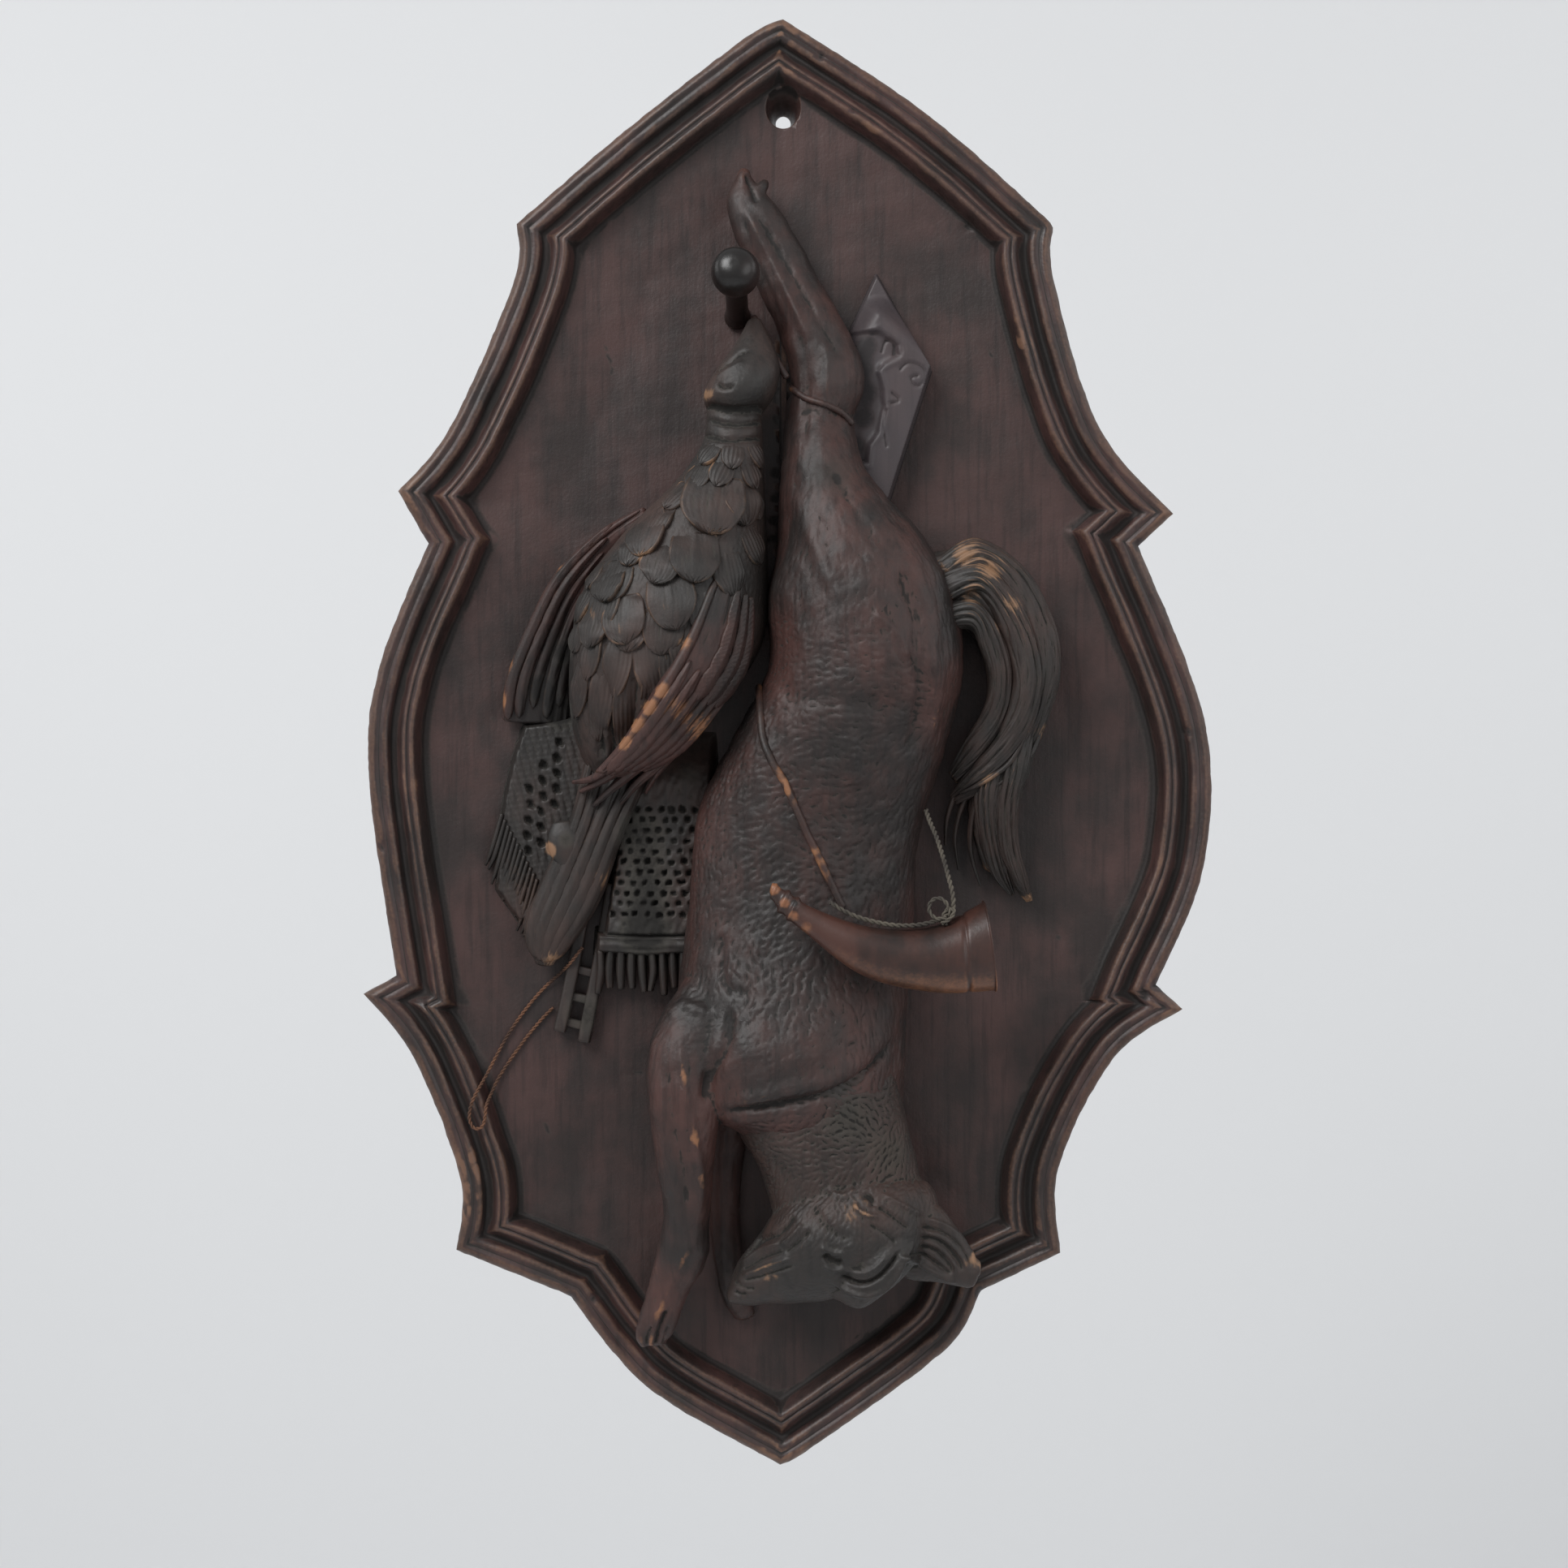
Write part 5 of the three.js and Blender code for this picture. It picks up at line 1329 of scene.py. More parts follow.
def touch(tree, x, z):
    place, normal, _, _ = tree.ray_cast(Vector((x, IN_FRONT, z)), Vector((0, 1, 0)))
    if place is None:
        return None
    normal = np.array(normal)
    return np.array(place), normal if normal[1] < 0 else -normal


def feather(spine, normals, half, dome_height=0.8, thick=1.6, barbs=0.14, ribs=0.0, tip=0.35, seed=0.0,
            columns=11, quill=0.2, ragged=0.0):
    """A leaf along a spine. Its half width rises from the quill, holds, and is rounded off at the tip.

    Barbs slant from the shaft to the edge, and ribs fan out from the quill."""
    t = np.linspace(0, 1, len(spine))
    start = quill + (1 - quill) * np.sqrt(np.clip(t / 0.5, 0, 1))
    round_end = np.sqrt(np.clip(1 - np.clip((t - 1 + tip) / tip, 0, 1) ** 2, 0.003, 1))
    side = unit(np.cross(np.gradient(spine, axis=0), normals))
    a = np.linspace(-1, 1, columns)
    along = run_length(spine)[:, None]
    width = (half * start * round_end)[:, None]
    rise = dome_height * (1 - a ** 2)[None] * np.minimum(1, width / half + 0.2)
    rise = rise + 0.28 * np.exp(-(a / 0.12) ** 2)[None] * (1 - t)[:, None]
    slant = (along - np.abs(a)[None] * width * 1.1) * 2 * math.pi / 1.7 + seed
    rise = rise + barbs * np.sin(slant) * (np.abs(a) > 0.1)
    rise = rise + ribs * np.cos(a * half * 4.2 + seed)[None] * np.sin(t * math.pi)[:, None]
    notch = ragged * (0.5 + 0.5 * np.sin(a * half * 2.1 + seed))[None] * (t ** 4)[:, None]
    back = -unit(np.gradient(spine, axis=0))[:, None] * notch[..., None]
    top = spine[:, None] + side[:, None] * (a[None] * width)[..., None]
    top = top + normals[:, None] * rise[..., None] + back
    low = np.array([-0.9, 0.0, 0.9])
    bottom = spine[:, None] - normals[:, None] * thick + side[:, None] * (low[None] * width)[..., None]
    rings = np.concatenate([top, bottom[:, ::-1]], 1)
    return skin(rings, rings[0].mean(0), rings[-1].mean(0))


def smooth_line(line, times=3):
    for _ in range(times):
        line = np.concatenate([line[:1], (line[:-2] + line[1:-1] * 2 + line[2:]) / 4, line[-1:]])
    return line


def leaf_on(tree, x, z, angle, length, half, lift=0.9, rows=13, **options):
    """A feather that starts under the surface at x, z and rises to its tip in the direction of the angle."""
    way = np.array([math.cos(angle), 0, math.sin(angle)])
    t = np.linspace(0, 1, rows)
    spine, normals = [], []
    for share in t:
        found = touch(tree, x + way[0] * length * share, z + way[2] * length * share)
        if found is not None and (not spine or abs(found[0][1] - spine[-1][1]) < 3):
            spine.append(found[0])
            normals.append(found[1])
    if len(spine) < rows // 2:
        return []
    spine, normals = np.array(spine), unit(smooth_line(np.array(normals), 12))
    rise = -0.9 + (lift + 0.9) * np.sin(np.linspace(0, 1, len(spine)) * math.pi * 0.55)
    spine = smooth_line(spine + normals * rise[:, None])
    return [feather(spine, normals, half, **options)]


# %% [markdown]
# ## The game bird
# The bird hangs by its beak beside the fox. Its body and head are fused and softly cut. Over the breast
# lie broad feathers like fans, smaller ones under the neck, and long soft tufts towards the tail. Their
# ends catch the hand first, so the tips of a few are rubbed.

# %% Bird sections
BIRD_HEAD = [
    [-11.5, -58.5, 28, -7, -58, 28, 3, 3], [-16, -67, 29, -3, -66, 29, 7, 7],
    [-23, -77, 31, -1, -75, 31, 11.5, 11], [-25.5, -84, 31, -3, -83, 31, 12.5, 12],
    [-23, -89.5, 30, -7, -88.5, 30, 9, 10],
]
BIRD = [
    [-24.5, -87, 30, -7, -86.5, 30, 8, 10], [-26, -98, 29, -6.5, -97, 29, 11, 10],
    [-34.5, -110, 26, -6, -111.5, 28, 16, 10], [-52, -127.5, 23, -5, -136, 28, 23, 11],
    [-65, -146, 21, -6.5, -161, 26, 28, 11], [-69, -170, 20, -20, -182, 24, 26, 10],
    [-68, -190, 20, -36, -197, 21, 17, 10], [-62, -206, 20, -51, -209, 20, 7, 9],
]
BIRD_LINES = [
    [[[-21.5, -76], [-16.5, -72.5], [-11.5, -69.5]], 0.7, -1.2],
    [[[-22, -79], [-17, -76], [-12, -73.5]], 0.8, 0.5],
    [[[-25, -86.6], [-19, -88.6], [-12, -88.8], [-6, -87.6]], 1.0, -1.4],
    [[[-24.5, -91], [-18, -93.2], [-11, -93], [-6, -91.6]], 0.9, -1.0],
    [[[-26, -96], [-18.5, -98.4], [-11, -98], [-6, -96.6]], 0.9, -1.0],
    [[[-21, -80.5], [-18.6, -82.6], [-15.6, -81.6]], 0.8, -0.9],
    [[[-64, -176], [-60, -188], [-57, -199]], 1.6, -1.6],
    [[[-55, -172], [-54, -186], [-54, -202]], 1.6, -1.6],
    [[[-46, -172], [-47.5, -184], [-51, -198]], 1.5, -1.4],
    [[[-38, -170], [-41, -182], [-47, -194]], 1.4, -1.2],
]
BIRD_COAT = [  # x, z, angle, length, half width, depth
    [-14, -70, 60, 4, 0.6, 0.14], [-16, -92, 20, 4, 0.7, 0.25], [-20, -104, 60, 5, 0.8, 0.3],
    [-36, -130, 60, 6, 0.8, 0.3], [-40, -160, 75, 7, 0.8, 0.3], [-52, -180, 82, 9, 0.9, 0.35],
    [-54, -200, 85, 9, 0.9, 0.35], [-20, -150, 60, 6, 0.8, 0.3],
]
print("sections:", len(BIRD_HEAD), len(BIRD))

# %% Bird body
BIRD_VOXEL = 0.6
bird_points, bird_quads = fuse([loft(BIRD_HEAD, sides=40), loft(BIRD, sides=56)], BIRD_VOXEL)
bird_points = engrave(bird_points, normals_of(bird_points, bird_quads), BIRD_LINES)
bird_points = fur(bird_points, normals_of(bird_points, bird_quads), BIRD_COAT, 0.62, 19)
add_seated("bird_body", bird_points, bird_quads, finish=DUSTY_WOOD, share=0.5)
bird_tree = BVHTree.FromPolygons(bird_points.tolist(), bird_quads.tolist())

# %% Breast feathers
SCALES = [  # small feathers: x, z, angle in degrees, length, half width
    [-27, -99, -128, 9, 3.2], [-21.5, -99, -110, 9, 3.6], [-15.5, -99, -92, 9, 3.6],
    [-9.5, -99, -70, 8, 3.2], [-32, -105, -130, 10, 4.0], [-25, -105, -118, 10, 4.4],
    [-18, -105, -100, 10, 4.4], [-11, -105, -78, 9, 4.0], [-38, -111, -130, 11, 4.6],
    [-30, -112, -120, 11, 5.0], [-10.5, -113, -76, 11, 4.6], [-45, -118, -126, 11, 4.8],
    [-37, -119, -118, 12, 5.6], [-52, -126, -122, 11, 4.8], [-45, -127, -112, 12, 5.6],
    [-11, -126, -80, 12, 5], [-18, -134, -84, 14, 5.6], [-58, -134, -112, 12, 4.8],
    [-51, -136, -104, 13, 6.0], [-62, -144, -102, 12, 4.6], [-55, -146, -98, 13, 5.8],
    [-24, -146, -84, 15, 6.2], [-64, -153, -96, 13, 4.4], [-47, -152, -94, 14, 6.4],
    [-37, -152, -88, 15, 6.6], [-29, -156, -84, 15, 6], [-59, -157, -94, 18, 4.6],
    [-51, -160, -92, 20, 5.2], [-43, -161, -88, 20, 5.4], [-35, -162, -84, 18, 5.2],
    [-63, -166, -92, 20, 4.0], [-56, -171, -90, 22, 4.4], [-48.5, -174, -90, 22, 4.6],
    [-41, -174, -88, 18, 4.2],
]
FANS = [    # the broad ones that lie on top
    [-36, -141, -82, 17, 8.6], [-50, -148, -90, 15, 8.2], [-58.5, -151, -92, 13, 6],
    [-36.5, -132, -100, 14, 7], [-54, -139, -96, 12, 6.8], [-27.5, -128, -94, 16, 8],
    [-42, -121, -106, 14, 6.6], [-13, -112, -84, 13, 7], [-21, -110, -100, 20, 10.8],
]
BREAST_TIPS = [[-44, -134, 4.5, 0.62], [-37, -153, 5, 0.62], [-60, -154, 5, 0.62], [-51, -159, 5, 0.62],
               [-63, -141, 4, 0.55], [-31, -129, 5, 0.5], [-30, -106, 4, 0.55], [-21, -126, 5, 0.4]]

SCALE_LIFT, FAN_LIFT = 0.9, 1.9

rng = np.random.default_rng(43)
plumage = []
for table, lift in ((SCALES, SCALE_LIFT), (FANS, FAN_LIFT)):
    for x, z, angle, length, half in table:
        way = math.radians(angle + rng.normal(0, 5))
        long = length * rng.uniform(0.95, 1.1)
        wide = half * rng.uniform(0.92, 1.08)
        plumage += leaf_on(bird_tree, x, z, way, long, wide, lift=lift, tip=0.62, dome_height=0.55, thick=1.8,
                           barbs=0.0, ribs=0.13, rows=20, seed=rng.uniform(0, 6), columns=25, quill=0.72,
                           ragged=1.2)
add_carving("bird_breast", join_forms(plumage), DUSTY_WOOD, TROPHY_SPOTS + BREAST_TIPS, reach=3, rub=0.5,
            broken=0.4)

# %% [markdown]
# ## Wings and tail
# One wing stands behind the body and shows its edge as a thin bow. The other is folded over the front,
# with small coverts at the top and long flight feathers below, and ragged strands sweep from its end over
# the root of the tail. Each wing is a plain blade with long leaves on it. Their routes run between two
# places on the blade, side by side. A bud like an almond sits on the tail.

# %% Wing and tail sections
TAIL = [
    [-64, -198, 22, -41, -201, 22, 6, 10], [-70, -220, 21.5, -51, -222, 21.5, 5, 9],
    [-79.5, -240, 20, -58.5, -243, 20, 4.5, 8], [-84.5, -254, 19, -66, -256, 19, 4, 7],
    [-81, -265, 17.5, -74.5, -265.5, 17.5, 2.5, 5],
]
FAR_WING = [
    [-46, -117.5, 22, -44, -124, 21, 3, 9], [-60, -125.5, 21, -54.5, -135, 17, 3.5, 8],
    [-74, -138.5, 19.5, -64, -151, 12.5, 4, 6], [-84, -157, 18, -68, -164, 11, 3.5, 5],
    [-90.5, -173, 16.5, -69.5, -176, 10.5, 3, 4], [-92, -186, 14.5, -71, -187, 10.5, 2, 2.5],
]
NEAR_WING = [
    [-16.5, -132, 42, -13, -132.5, 38, 2.5, 4], [-22.5, -145, 48.5, -10.5, -150, 37, 4.5, 6],
    [-29.5, -162, 51.5, -11.5, -169, 36, 5, 8], [-38, -177, 52, -21, -183, 37, 5, 9],
    [-49, -193, 47, -33, -197, 36, 4, 8], [-58, -203, 41, -49, -204.5, 34, 3, 6],
]


def blade_feather(sections, start, end, across, half, raise_by=0.5, **options):
    """A long feather on a blade, between two section numbers, at a place from -1 to 1 across it."""
    rows = 34
    s = np.linspace(start, end, rows)
    place = np.linspace(across[0], across[1], rows)
    angle = np.arccos(np.clip(place, -0.97, 0.97))
    spine = section_point(between(sections, s), angle)
    beside = section_point(between(sections, s), angle + 0.05)
    normals = unit(np.cross(np.gradient(spine, axis=0), beside - spine))
    normals *= np.sign(-normals[:, 1:2].mean())
    return feather(spine + normals * raise_by, normals, half, **options)


def leading_edge(sections, start, end, angle, radius):
    s = np.linspace(start, end, 60)
    line = section_point(between(sections, s), np.full(60, angle))
    return tube(line, radius * np.sin(np.linspace(0.35, 2.9, 60)))


print("sections:", len(TAIL), len(FAR_WING), len(NEAR_WING))

# %% Wings
RAGGED = [  # strands that sweep from the end of the wing over the root of the tail
    [[-36, -186, 45, 1.8, 2, 4], [-46, -197, 42, 1.8, 2, 4], [-56, -205, 36, 1.5, 2, 4],
     [-65, -209.6, 30, 0.7, 1, 3]],
    [[-34, -190, 42, 1.8, 2, 4], [-44, -200, 39, 1.8, 2, 4], [-54, -208, 33, 1.5, 2, 4],
     [-61, -214, 28, 0.7, 1, 3]],
    [[-30, -190, 39, 1.8, 2, 4], [-39, -200, 36, 1.8, 2, 4], [-47, -207, 31, 1.5, 2, 4],
     [-53.5, -214.5, 26, 0.7, 1, 3]],
    [[-43, -189, 46.5, 1.6, 2, 4], [-52, -199, 43, 1.7, 2, 4], [-60, -205, 36, 1.3, 2, 4],
     [-67.5, -206.6, 30, 0.6, 1, 3]],
    [[-28, -186, 40, 1.5, 2, 4], [-34, -196, 36, 1.6, 2, 4], [-40, -203, 31, 1.2, 2, 4],
     [-44.5, -210, 25, 0.5, 1, 3]],
]
FLIGHT_PLACES = (-0.8, -0.48, -0.16, 0.16, 0.46, 0.76)
FAR_PLACES = (-0.86, -0.5, -0.1, 0.3, 0.66)
FAR_ENDS = (4.99, 4.9, 4.6, 4.86, 4.5)
FAR_HEIGHTS = (0.9, 0.7, -0.1, 0.1, -0.2)

wings = [loft(NEAR_WING, pitch=0.8, sides=90, relief=hairlines(6, 0.45, 2.0, fine=0.16)),
         loft(FAR_WING, pitch=0.8, sides=90, relief=hairlines(7, 0.5, 4.0, fine=0.2)),
         leading_edge(NEAR_WING, 0.1, 4.9, math.pi * 0.93, 1.7),
         leading_edge(FAR_WING, 0.1, 4.9, math.pi * 0.80, 1.6)]
for i, across in enumerate(FLIGHT_PLACES):
    wings.append(blade_feather(NEAR_WING, 2.35 + 0.1 * i, 4.95 - 0.06 * i, (across, across * 0.9), 2.1,
                               raise_by=0.25 + 0.12 * (i % 2), tip=0.16, seed=i, columns=9))
for i, spine in enumerate(RAGGED):
    wings.append(strand(spine, pitch=0.8, sides=26, relief=hairlines(3, 0.45, 1.3 * i, fine=0.12)))
for row in range(4):
    for i in range(3):
        wings.append(blade_feather(NEAR_WING, 0.9 + 0.42 * row, 1.75 + 0.42 * row,
                                   (-0.1 + 0.36 * i, -0.1 + 0.36 * i), 2.2 + 0.3 * row, raise_by=0.5,
                                   tip=0.6, seed=i + row))
for i, (across, end, height) in enumerate(zip(FAR_PLACES, FAR_ENDS, FAR_HEIGHTS)):
    wings.append(blade_feather(FAR_WING, 0.7 + 0.2 * i, end, (across, across * 0.94), 1.9, raise_by=height,
                               tip=0.14, seed=2 + i, columns=9))
add_carving("bird_wings", pressed(wings), CARVED_WOOD, broken=0.3)

# %% Tail
TAIL_PLACES = (-0.75, -0.38, 0.02, 0.4, 0.76)
tail = [loft(TAIL, pitch=0.9, sides=110, relief=hairlines(7, 0.8, 5.0, fine=0.2))]
for i, across in enumerate(TAIL_PLACES):
    tail.append(blade_feather(TAIL, 0.15 + 0.1 * (i % 2), 3.98 - 0.25 * abs(across), (across, across * 0.8),
                              2.5, raise_by=0.35, tip=0.14, seed=i, columns=9))
ALMOND = [[-71.5, -219.8, 24.4, 3.2, 1.4, 3], [-71, -223.6, 25, 4.9, 2, 3], [-70.6, -228.6, 25, 4.9, 2, 3],
          [-69.4, -233.2, 24.4, 2.8, 1.4, 3]]
tail.append(strand(ALMOND, pitch=0.8, sides=28))
add_carving("bird_tail", pressed(tail), DUSTY_WOOD, broken=0.3)

# %% [markdown]
# ## Low relief as a height field
# The bag and the gun's stock are cut flat, almost like a print block, so a height for every place in the
# front view says all about them. `height_field` makes a grid of such heights, and `add_seated` later
# closes it at the back.
# Holes of the net are soft pits with steep walls, as a small gouge leaves them.

# %% Height fields
def height_field(x_range, z_range, pitch, depth_at):
    """A grid of quads over the front view, with the depth that a function gives for each place."""
    xs = np.arange(x_range[0], x_range[1], pitch)
    zs = np.arange(z_range[0], z_range[1], pitch)
    x, z = np.meshgrid(xs, zs)
    depth = np.maximum(depth_at(x, z), SEAT)
    points = at(x, z, depth).reshape(-1, 3)
    row = np.arange(len(zs) - 1)[:, None] * len(xs) + np.arange(len(xs) - 1)
    quads = np.stack([row, row + 1, row + 1 + len(xs), row + len(xs)], -1).reshape(-1, 4)
    print("   grid:", len(xs), "by", len(zs))
    return points, quads


def pit(x, z, cx, cz, half_x, half_z, deep):
    away = (np.abs((x - cx) / half_x) ** 3 + np.abs((z - cz) / half_z) ** 3) ** (1 / 3)
    return deep * (1 - step(0.75, 1.25, away))

# %% [markdown]
# ## The game bag
# The flap on the left has three columns of small slanting holes and a frayed edge. Behind the bird's tail
# hangs the net of the bag, with staggered holes of uneven size, a ribbed band and a fringe. All of it is
# one field of heights, and waves in the places keep every hole from being drawn with a ruler.

# %% Bag
FLAP = [[-85.5, -187], [-60, -184], [-52, -200], [-52, -226], [-60, -245], [-75, -252], [-87, -253],
        [-95, -242], [-94, -223], [-92, -210], [-89, -197]]
FLAP_COLUMNS = [[-82.7, -208.6, 8], [-78.2, -200.8, 6], [-73.4, -193.4, 5]]   # top x, z and count
FLAP_PITCH = 5.1
FLAP_RISE = 6.2
NET = [[-55, -188], [-22, -190], [-22, -222], [-28, -258], [-60, -258], [-55, -225]]
NET_PITCH = (3.9, 3.4)
NET_ROWS, NET_HOLES = 11, 8
NET_START = (-55.5, -215.4)
NET_TOP = 21.5
BAND = [[-61.6, -254.2], [-45, -255], [-28, -254.6], [-28, -263.6], [-45, -264.4], [-62.4, -263.2]]
BAND_TOP = 21.2
BAND_RIB = 3.0
BAG_PITCH = 0.42


def flap_depth(x, z, grain, rough_x, rough_z):
    """The cloth of the flap is cut in lines along the hang, and its holes lean with them."""
    flap = polygon_distance(x, z, FLAP)
    along = (x * 0.28 + z * -0.96)
    lines = np.abs(np.sin((x * 0.96 + z * 0.28) * 1.25 + 0.7 * np.sin(along / 15)))
    cuts = 0.35 * (1 - lines) ** 2 + 0.12 * waves(grain, 2.4, 58)
    depth = np.where(flap > -0.6, SEAT + FLAP_RISE * step(-0.6, 2.2, flap) - cuts, 0.0)
    for left, top, count in FLAP_COLUMNS:
        for i in range(count):
            middle_x = left - 0.25 * i + 0.35 * math.sin(2.3 * i + left)
            middle_z = top - FLAP_PITCH * i
            leaning = rough_x + 0.32 * (z - middle_z)
            half_z = 1.35 + 0.3 * math.sin(3.1 * i)
            depth = depth - pit(leaning, rough_z, middle_x, middle_z, 1.0, half_z, 2.0)
    return depth


def net_depth(x, z, grain, rough_x, rough_z):
    """The net bulges a little. Every other row of holes is moved by half a hole."""
    net = polygon_distance(x, z, NET)
    bulge = NET_TOP - 0.006 * (x + 40) ** 2
    weave = bulge + 0.3 * waves(grain, 6, 51) + 0.16 * waves(grain, 2.2, 52)
    rng = np.random.default_rng(53)
    for row in range(NET_ROWS):
        for i in range(NET_HOLES):
            middle_x = NET_START[0] - row * 0.4 + NET_PITCH[0] * (i + (row % 2) * 0.5) + rng.normal(0, 0.24)
            middle_z = NET_START[1] - NET_PITCH[1] * row + rng.normal(0, 0.2)
            weave = weave - pit(rough_x, rough_z, middle_x, middle_z, rng.uniform(0.75, 1.15),
                                rng.uniform(0.7, 1.0), rng.uniform(1.0, 2.4))
    tucked = 0.1 + 0.9 * step(-190, -208, z)
    return np.where(net > -0.8, SEAT + (weave - SEAT) * step(-0.8, 2.6, net) * tucked, 0)


def band_depth(x, z, grain):
    band = polygon_distance(x, z, BAND)
    sag = z + 259.2 + 0.5 * np.cos((x + 45) / 11) + 0.2 * waves(grain, 9, 55)
    ribs = 0.3 * np.cos(sag * 2 * math.pi / BAND_RIB) + 0.16 * waves(grain, 3, 57)
    return np.where(band > -0.6, SEAT + (BAND_TOP - SEAT + ribs) * step(-0.6, 2.6, band), 0)


def bag_depth(x, z):
    grain = np.stack([x, z], -1)
    rough_x, rough_z = x + 0.3 * waves(grain, 2.6, 62), z + 0.3 * waves(grain, 2.2, 63)
    depth = flap_depth(x, z, grain, rough_x, rough_z)
    depth = np.maximum(depth, net_depth(x, z, grain, rough_x, rough_z))
    return np.maximum(depth, band_depth(x, z, grain))


bag_points, bag_quads = height_field((-98, -20), (-267, -182), BAG_PITCH, bag_depth)
add_seated("game_bag", bag_points, bag_quads, finish=DUSTY_WOOD, reach=6)

# %% Fringe
TASSELS, TASSEL_PITCH, TASSEL_TOP = 10, 3.35, (-59.6, -261.5)
FRAYS, FRAY_PITCH, FRAY_TOP = 15, (1.05, -1.95), (-96, -224)

rng = np.random.default_rng(47)
threads = []
for i in range(TASSELS):
    x, z = TASSEL_TOP[0] + i * TASSEL_PITCH, TASSEL_TOP[1]
    drop = 13.5 + rng.uniform(-1.8, 1.0)
    tassel = [[x, z, 17.5, 1.35, 2.6, 4],
              [x + rng.normal(0, 0.35), z - drop * 0.5, 17, 1.5, 2.4, 4],
              [x + rng.normal(0, 0.5), z - drop, 16, 1.15, 1.8, 3]]
    threads.append(strand(tassel, pitch=0.7, sides=22, relief=hairlines(2, 0.35, 0.9 * i)))
for i in range(FRAYS):
    x, z = FRAY_TOP[0] + i * FRAY_PITCH[0], FRAY_TOP[1] + i * FRAY_PITCH[1]
    drop = 9 + rng.uniform(-2, 3)
    fray = [[x + 4, z + 7, 14.6, 0.8, 1.8, 2],
            [x + 0.8, z - drop * 0.4, 14, 0.95, 1.8, 2],
            [x - 1.6 + rng.normal(0, 0.3), z - drop, 12.2, 0.4, 0.8, 1]]
    threads.append(strand(fray, pitch=0.8, sides=12))
add_carving("bag_fringe", pressed(threads), DUSTY_WOOD)

# %% [markdown]
# ## The gun
# The butt shows above the leg: bevelled faces that rise to a ridge, a sunk panel with a wavy border, and
# a few small scrolls. The barrels come out under the bag as two squared rails with three bars across
# them.

# %% Gun butt
BUTT = [[30.6, -39.3], [48.6, -71.3], [34.6, -115], [22, -118], [14, -110], [16, -72], [22.6, -56.4]]
BUTT_CREST = [[31.1, -55.6], [48.6, -71.3], [34.6, -115], [24, -112], [14, -110], [20, -74]]
PANEL = [
    [31.1, -59.8], [37.5, -64.5], [37.9, -68.3], [33.2, -70.9], [31.1, -73.4], [32.8, -79.4], [33.2, -84.5],
    [31.9, -89.6], [31.1, -93], [28.1, -97.3], [27.3, -103.2], [14, -103.2], [14, -59.8],
]
PANEL_BORDER = PANEL[:11]         # the part of its edge that is drawn as a wavy line
SCROLLS = [
    [[37.9, -72.6], [40.5, -70.5], [44.7, -71.7], [46.2, -74.7], [44.7, -77.7], [42.2, -77.5],
     [41.5, -75.3], [43.4, -74.7]],
    [[31.9, -66.6], [33.2, -63.2], [35.8, -64.1], [35.8, -67.5]],
    [[35.3, -80.3], [37.5, -82.6], [34.8, -83.6]], [[33.2, -86], [32.6, -91], [33.4, -97.4]],
]
BUTT_EDGE = 14.5                  # depth at the outer edge of the bevel
BUTT_TOP = 21.6
PANEL_SUNK = 1.5
SCROLL_SUNK = 0.5
BUTT_PITCH = 0.36
BUTT_SHADE = [  # x, z, radius, strength
    [27, -65, 6, -1.2], [26, -72, 6, -1.2], [27, -80, 6, -1.2], [26, -88, 6, -1.2], [23, -97, 6, -1.2],
]


def butt_depth(x, z):
    whole = polygon_distance(x, z, BUTT)
    crest = polygon_distance(x, z, BUTT_CREST)
    panel = polygon_distance(x, z, PANEL)
    top = BUTT_TOP + 0.02 * (z + 86)
    bevel = BUTT_EDGE + (top - BUTT_EDGE) * step(-9, 0.4, crest)
    depth = SEAT + (bevel - SEAT) * step(-0.5, 0.9, whole)
    depth = depth - PANEL_SUNK * step(-0.4, 1.4, panel)
    places = np.stack([x.ravel(), z.ravel()], -1)
    for path in SCROLLS:
        away, _ = line_distance(places, path)
        depth = depth - SCROLL_SUNK * np.exp(-(away.reshape(x.shape) / 0.6) ** 2) * (whole > 0)
    border, _ = line_distance(places, PANEL_BORDER)
    return depth + 0.3 * np.exp(-((border.reshape(x.shape) - 1.1) / 0.8) ** 2) * (whole > 1)


gun_points, gun_quads = height_field((10, 51), (-121, -37), BUTT_PITCH, butt_depth)
add_seated("gun_butt", gun_points, gun_quads, BUTT_SHADE, BUTT_WOOD, crest=0.25, reach=5)

# %% Gun barrels
RAILS = [[[-64, -240, 14], [-68.5, -266, 14], [-73.2, -288, 14]],
         [[-56, -240, 13.5], [-60.5, -266, 13.5], [-65.3, -291.5, 13.5]]]
BARS = [[-66.8, -268.0], [-68.6, -276.8], [-70.4, -285.2]]
SQUARED = 4.5

barrels = []
for rail in RAILS:
    spine = [[x, z, depth, 2.05, 2.2, 3] for x, z, depth in rail]
    barrels.append(strand(spine, pitch=0.9, sides=36, square=SQUARED, tip=0.12))
for x, z in BARS:
    spine = [[x - 3, z + 0.8, 12.9, 1.4, 1.6, 2], [x + 4.6, z - 1.2, 12.9, 1.4, 1.6, 2]]
    barrels.append(strand(spine, pitch=0.8, sides=24, square=SQUARED, tip=0.1))
add_carving("gun_barrels", pressed(barrels), DUSTY_WOOD)

# %% [markdown]
# ## Carved cords
# The sling over the flank and the tie round the leg look like cords but are cut from the block. They
# follow the surface under them, found from the front, and are sunk a little into it.

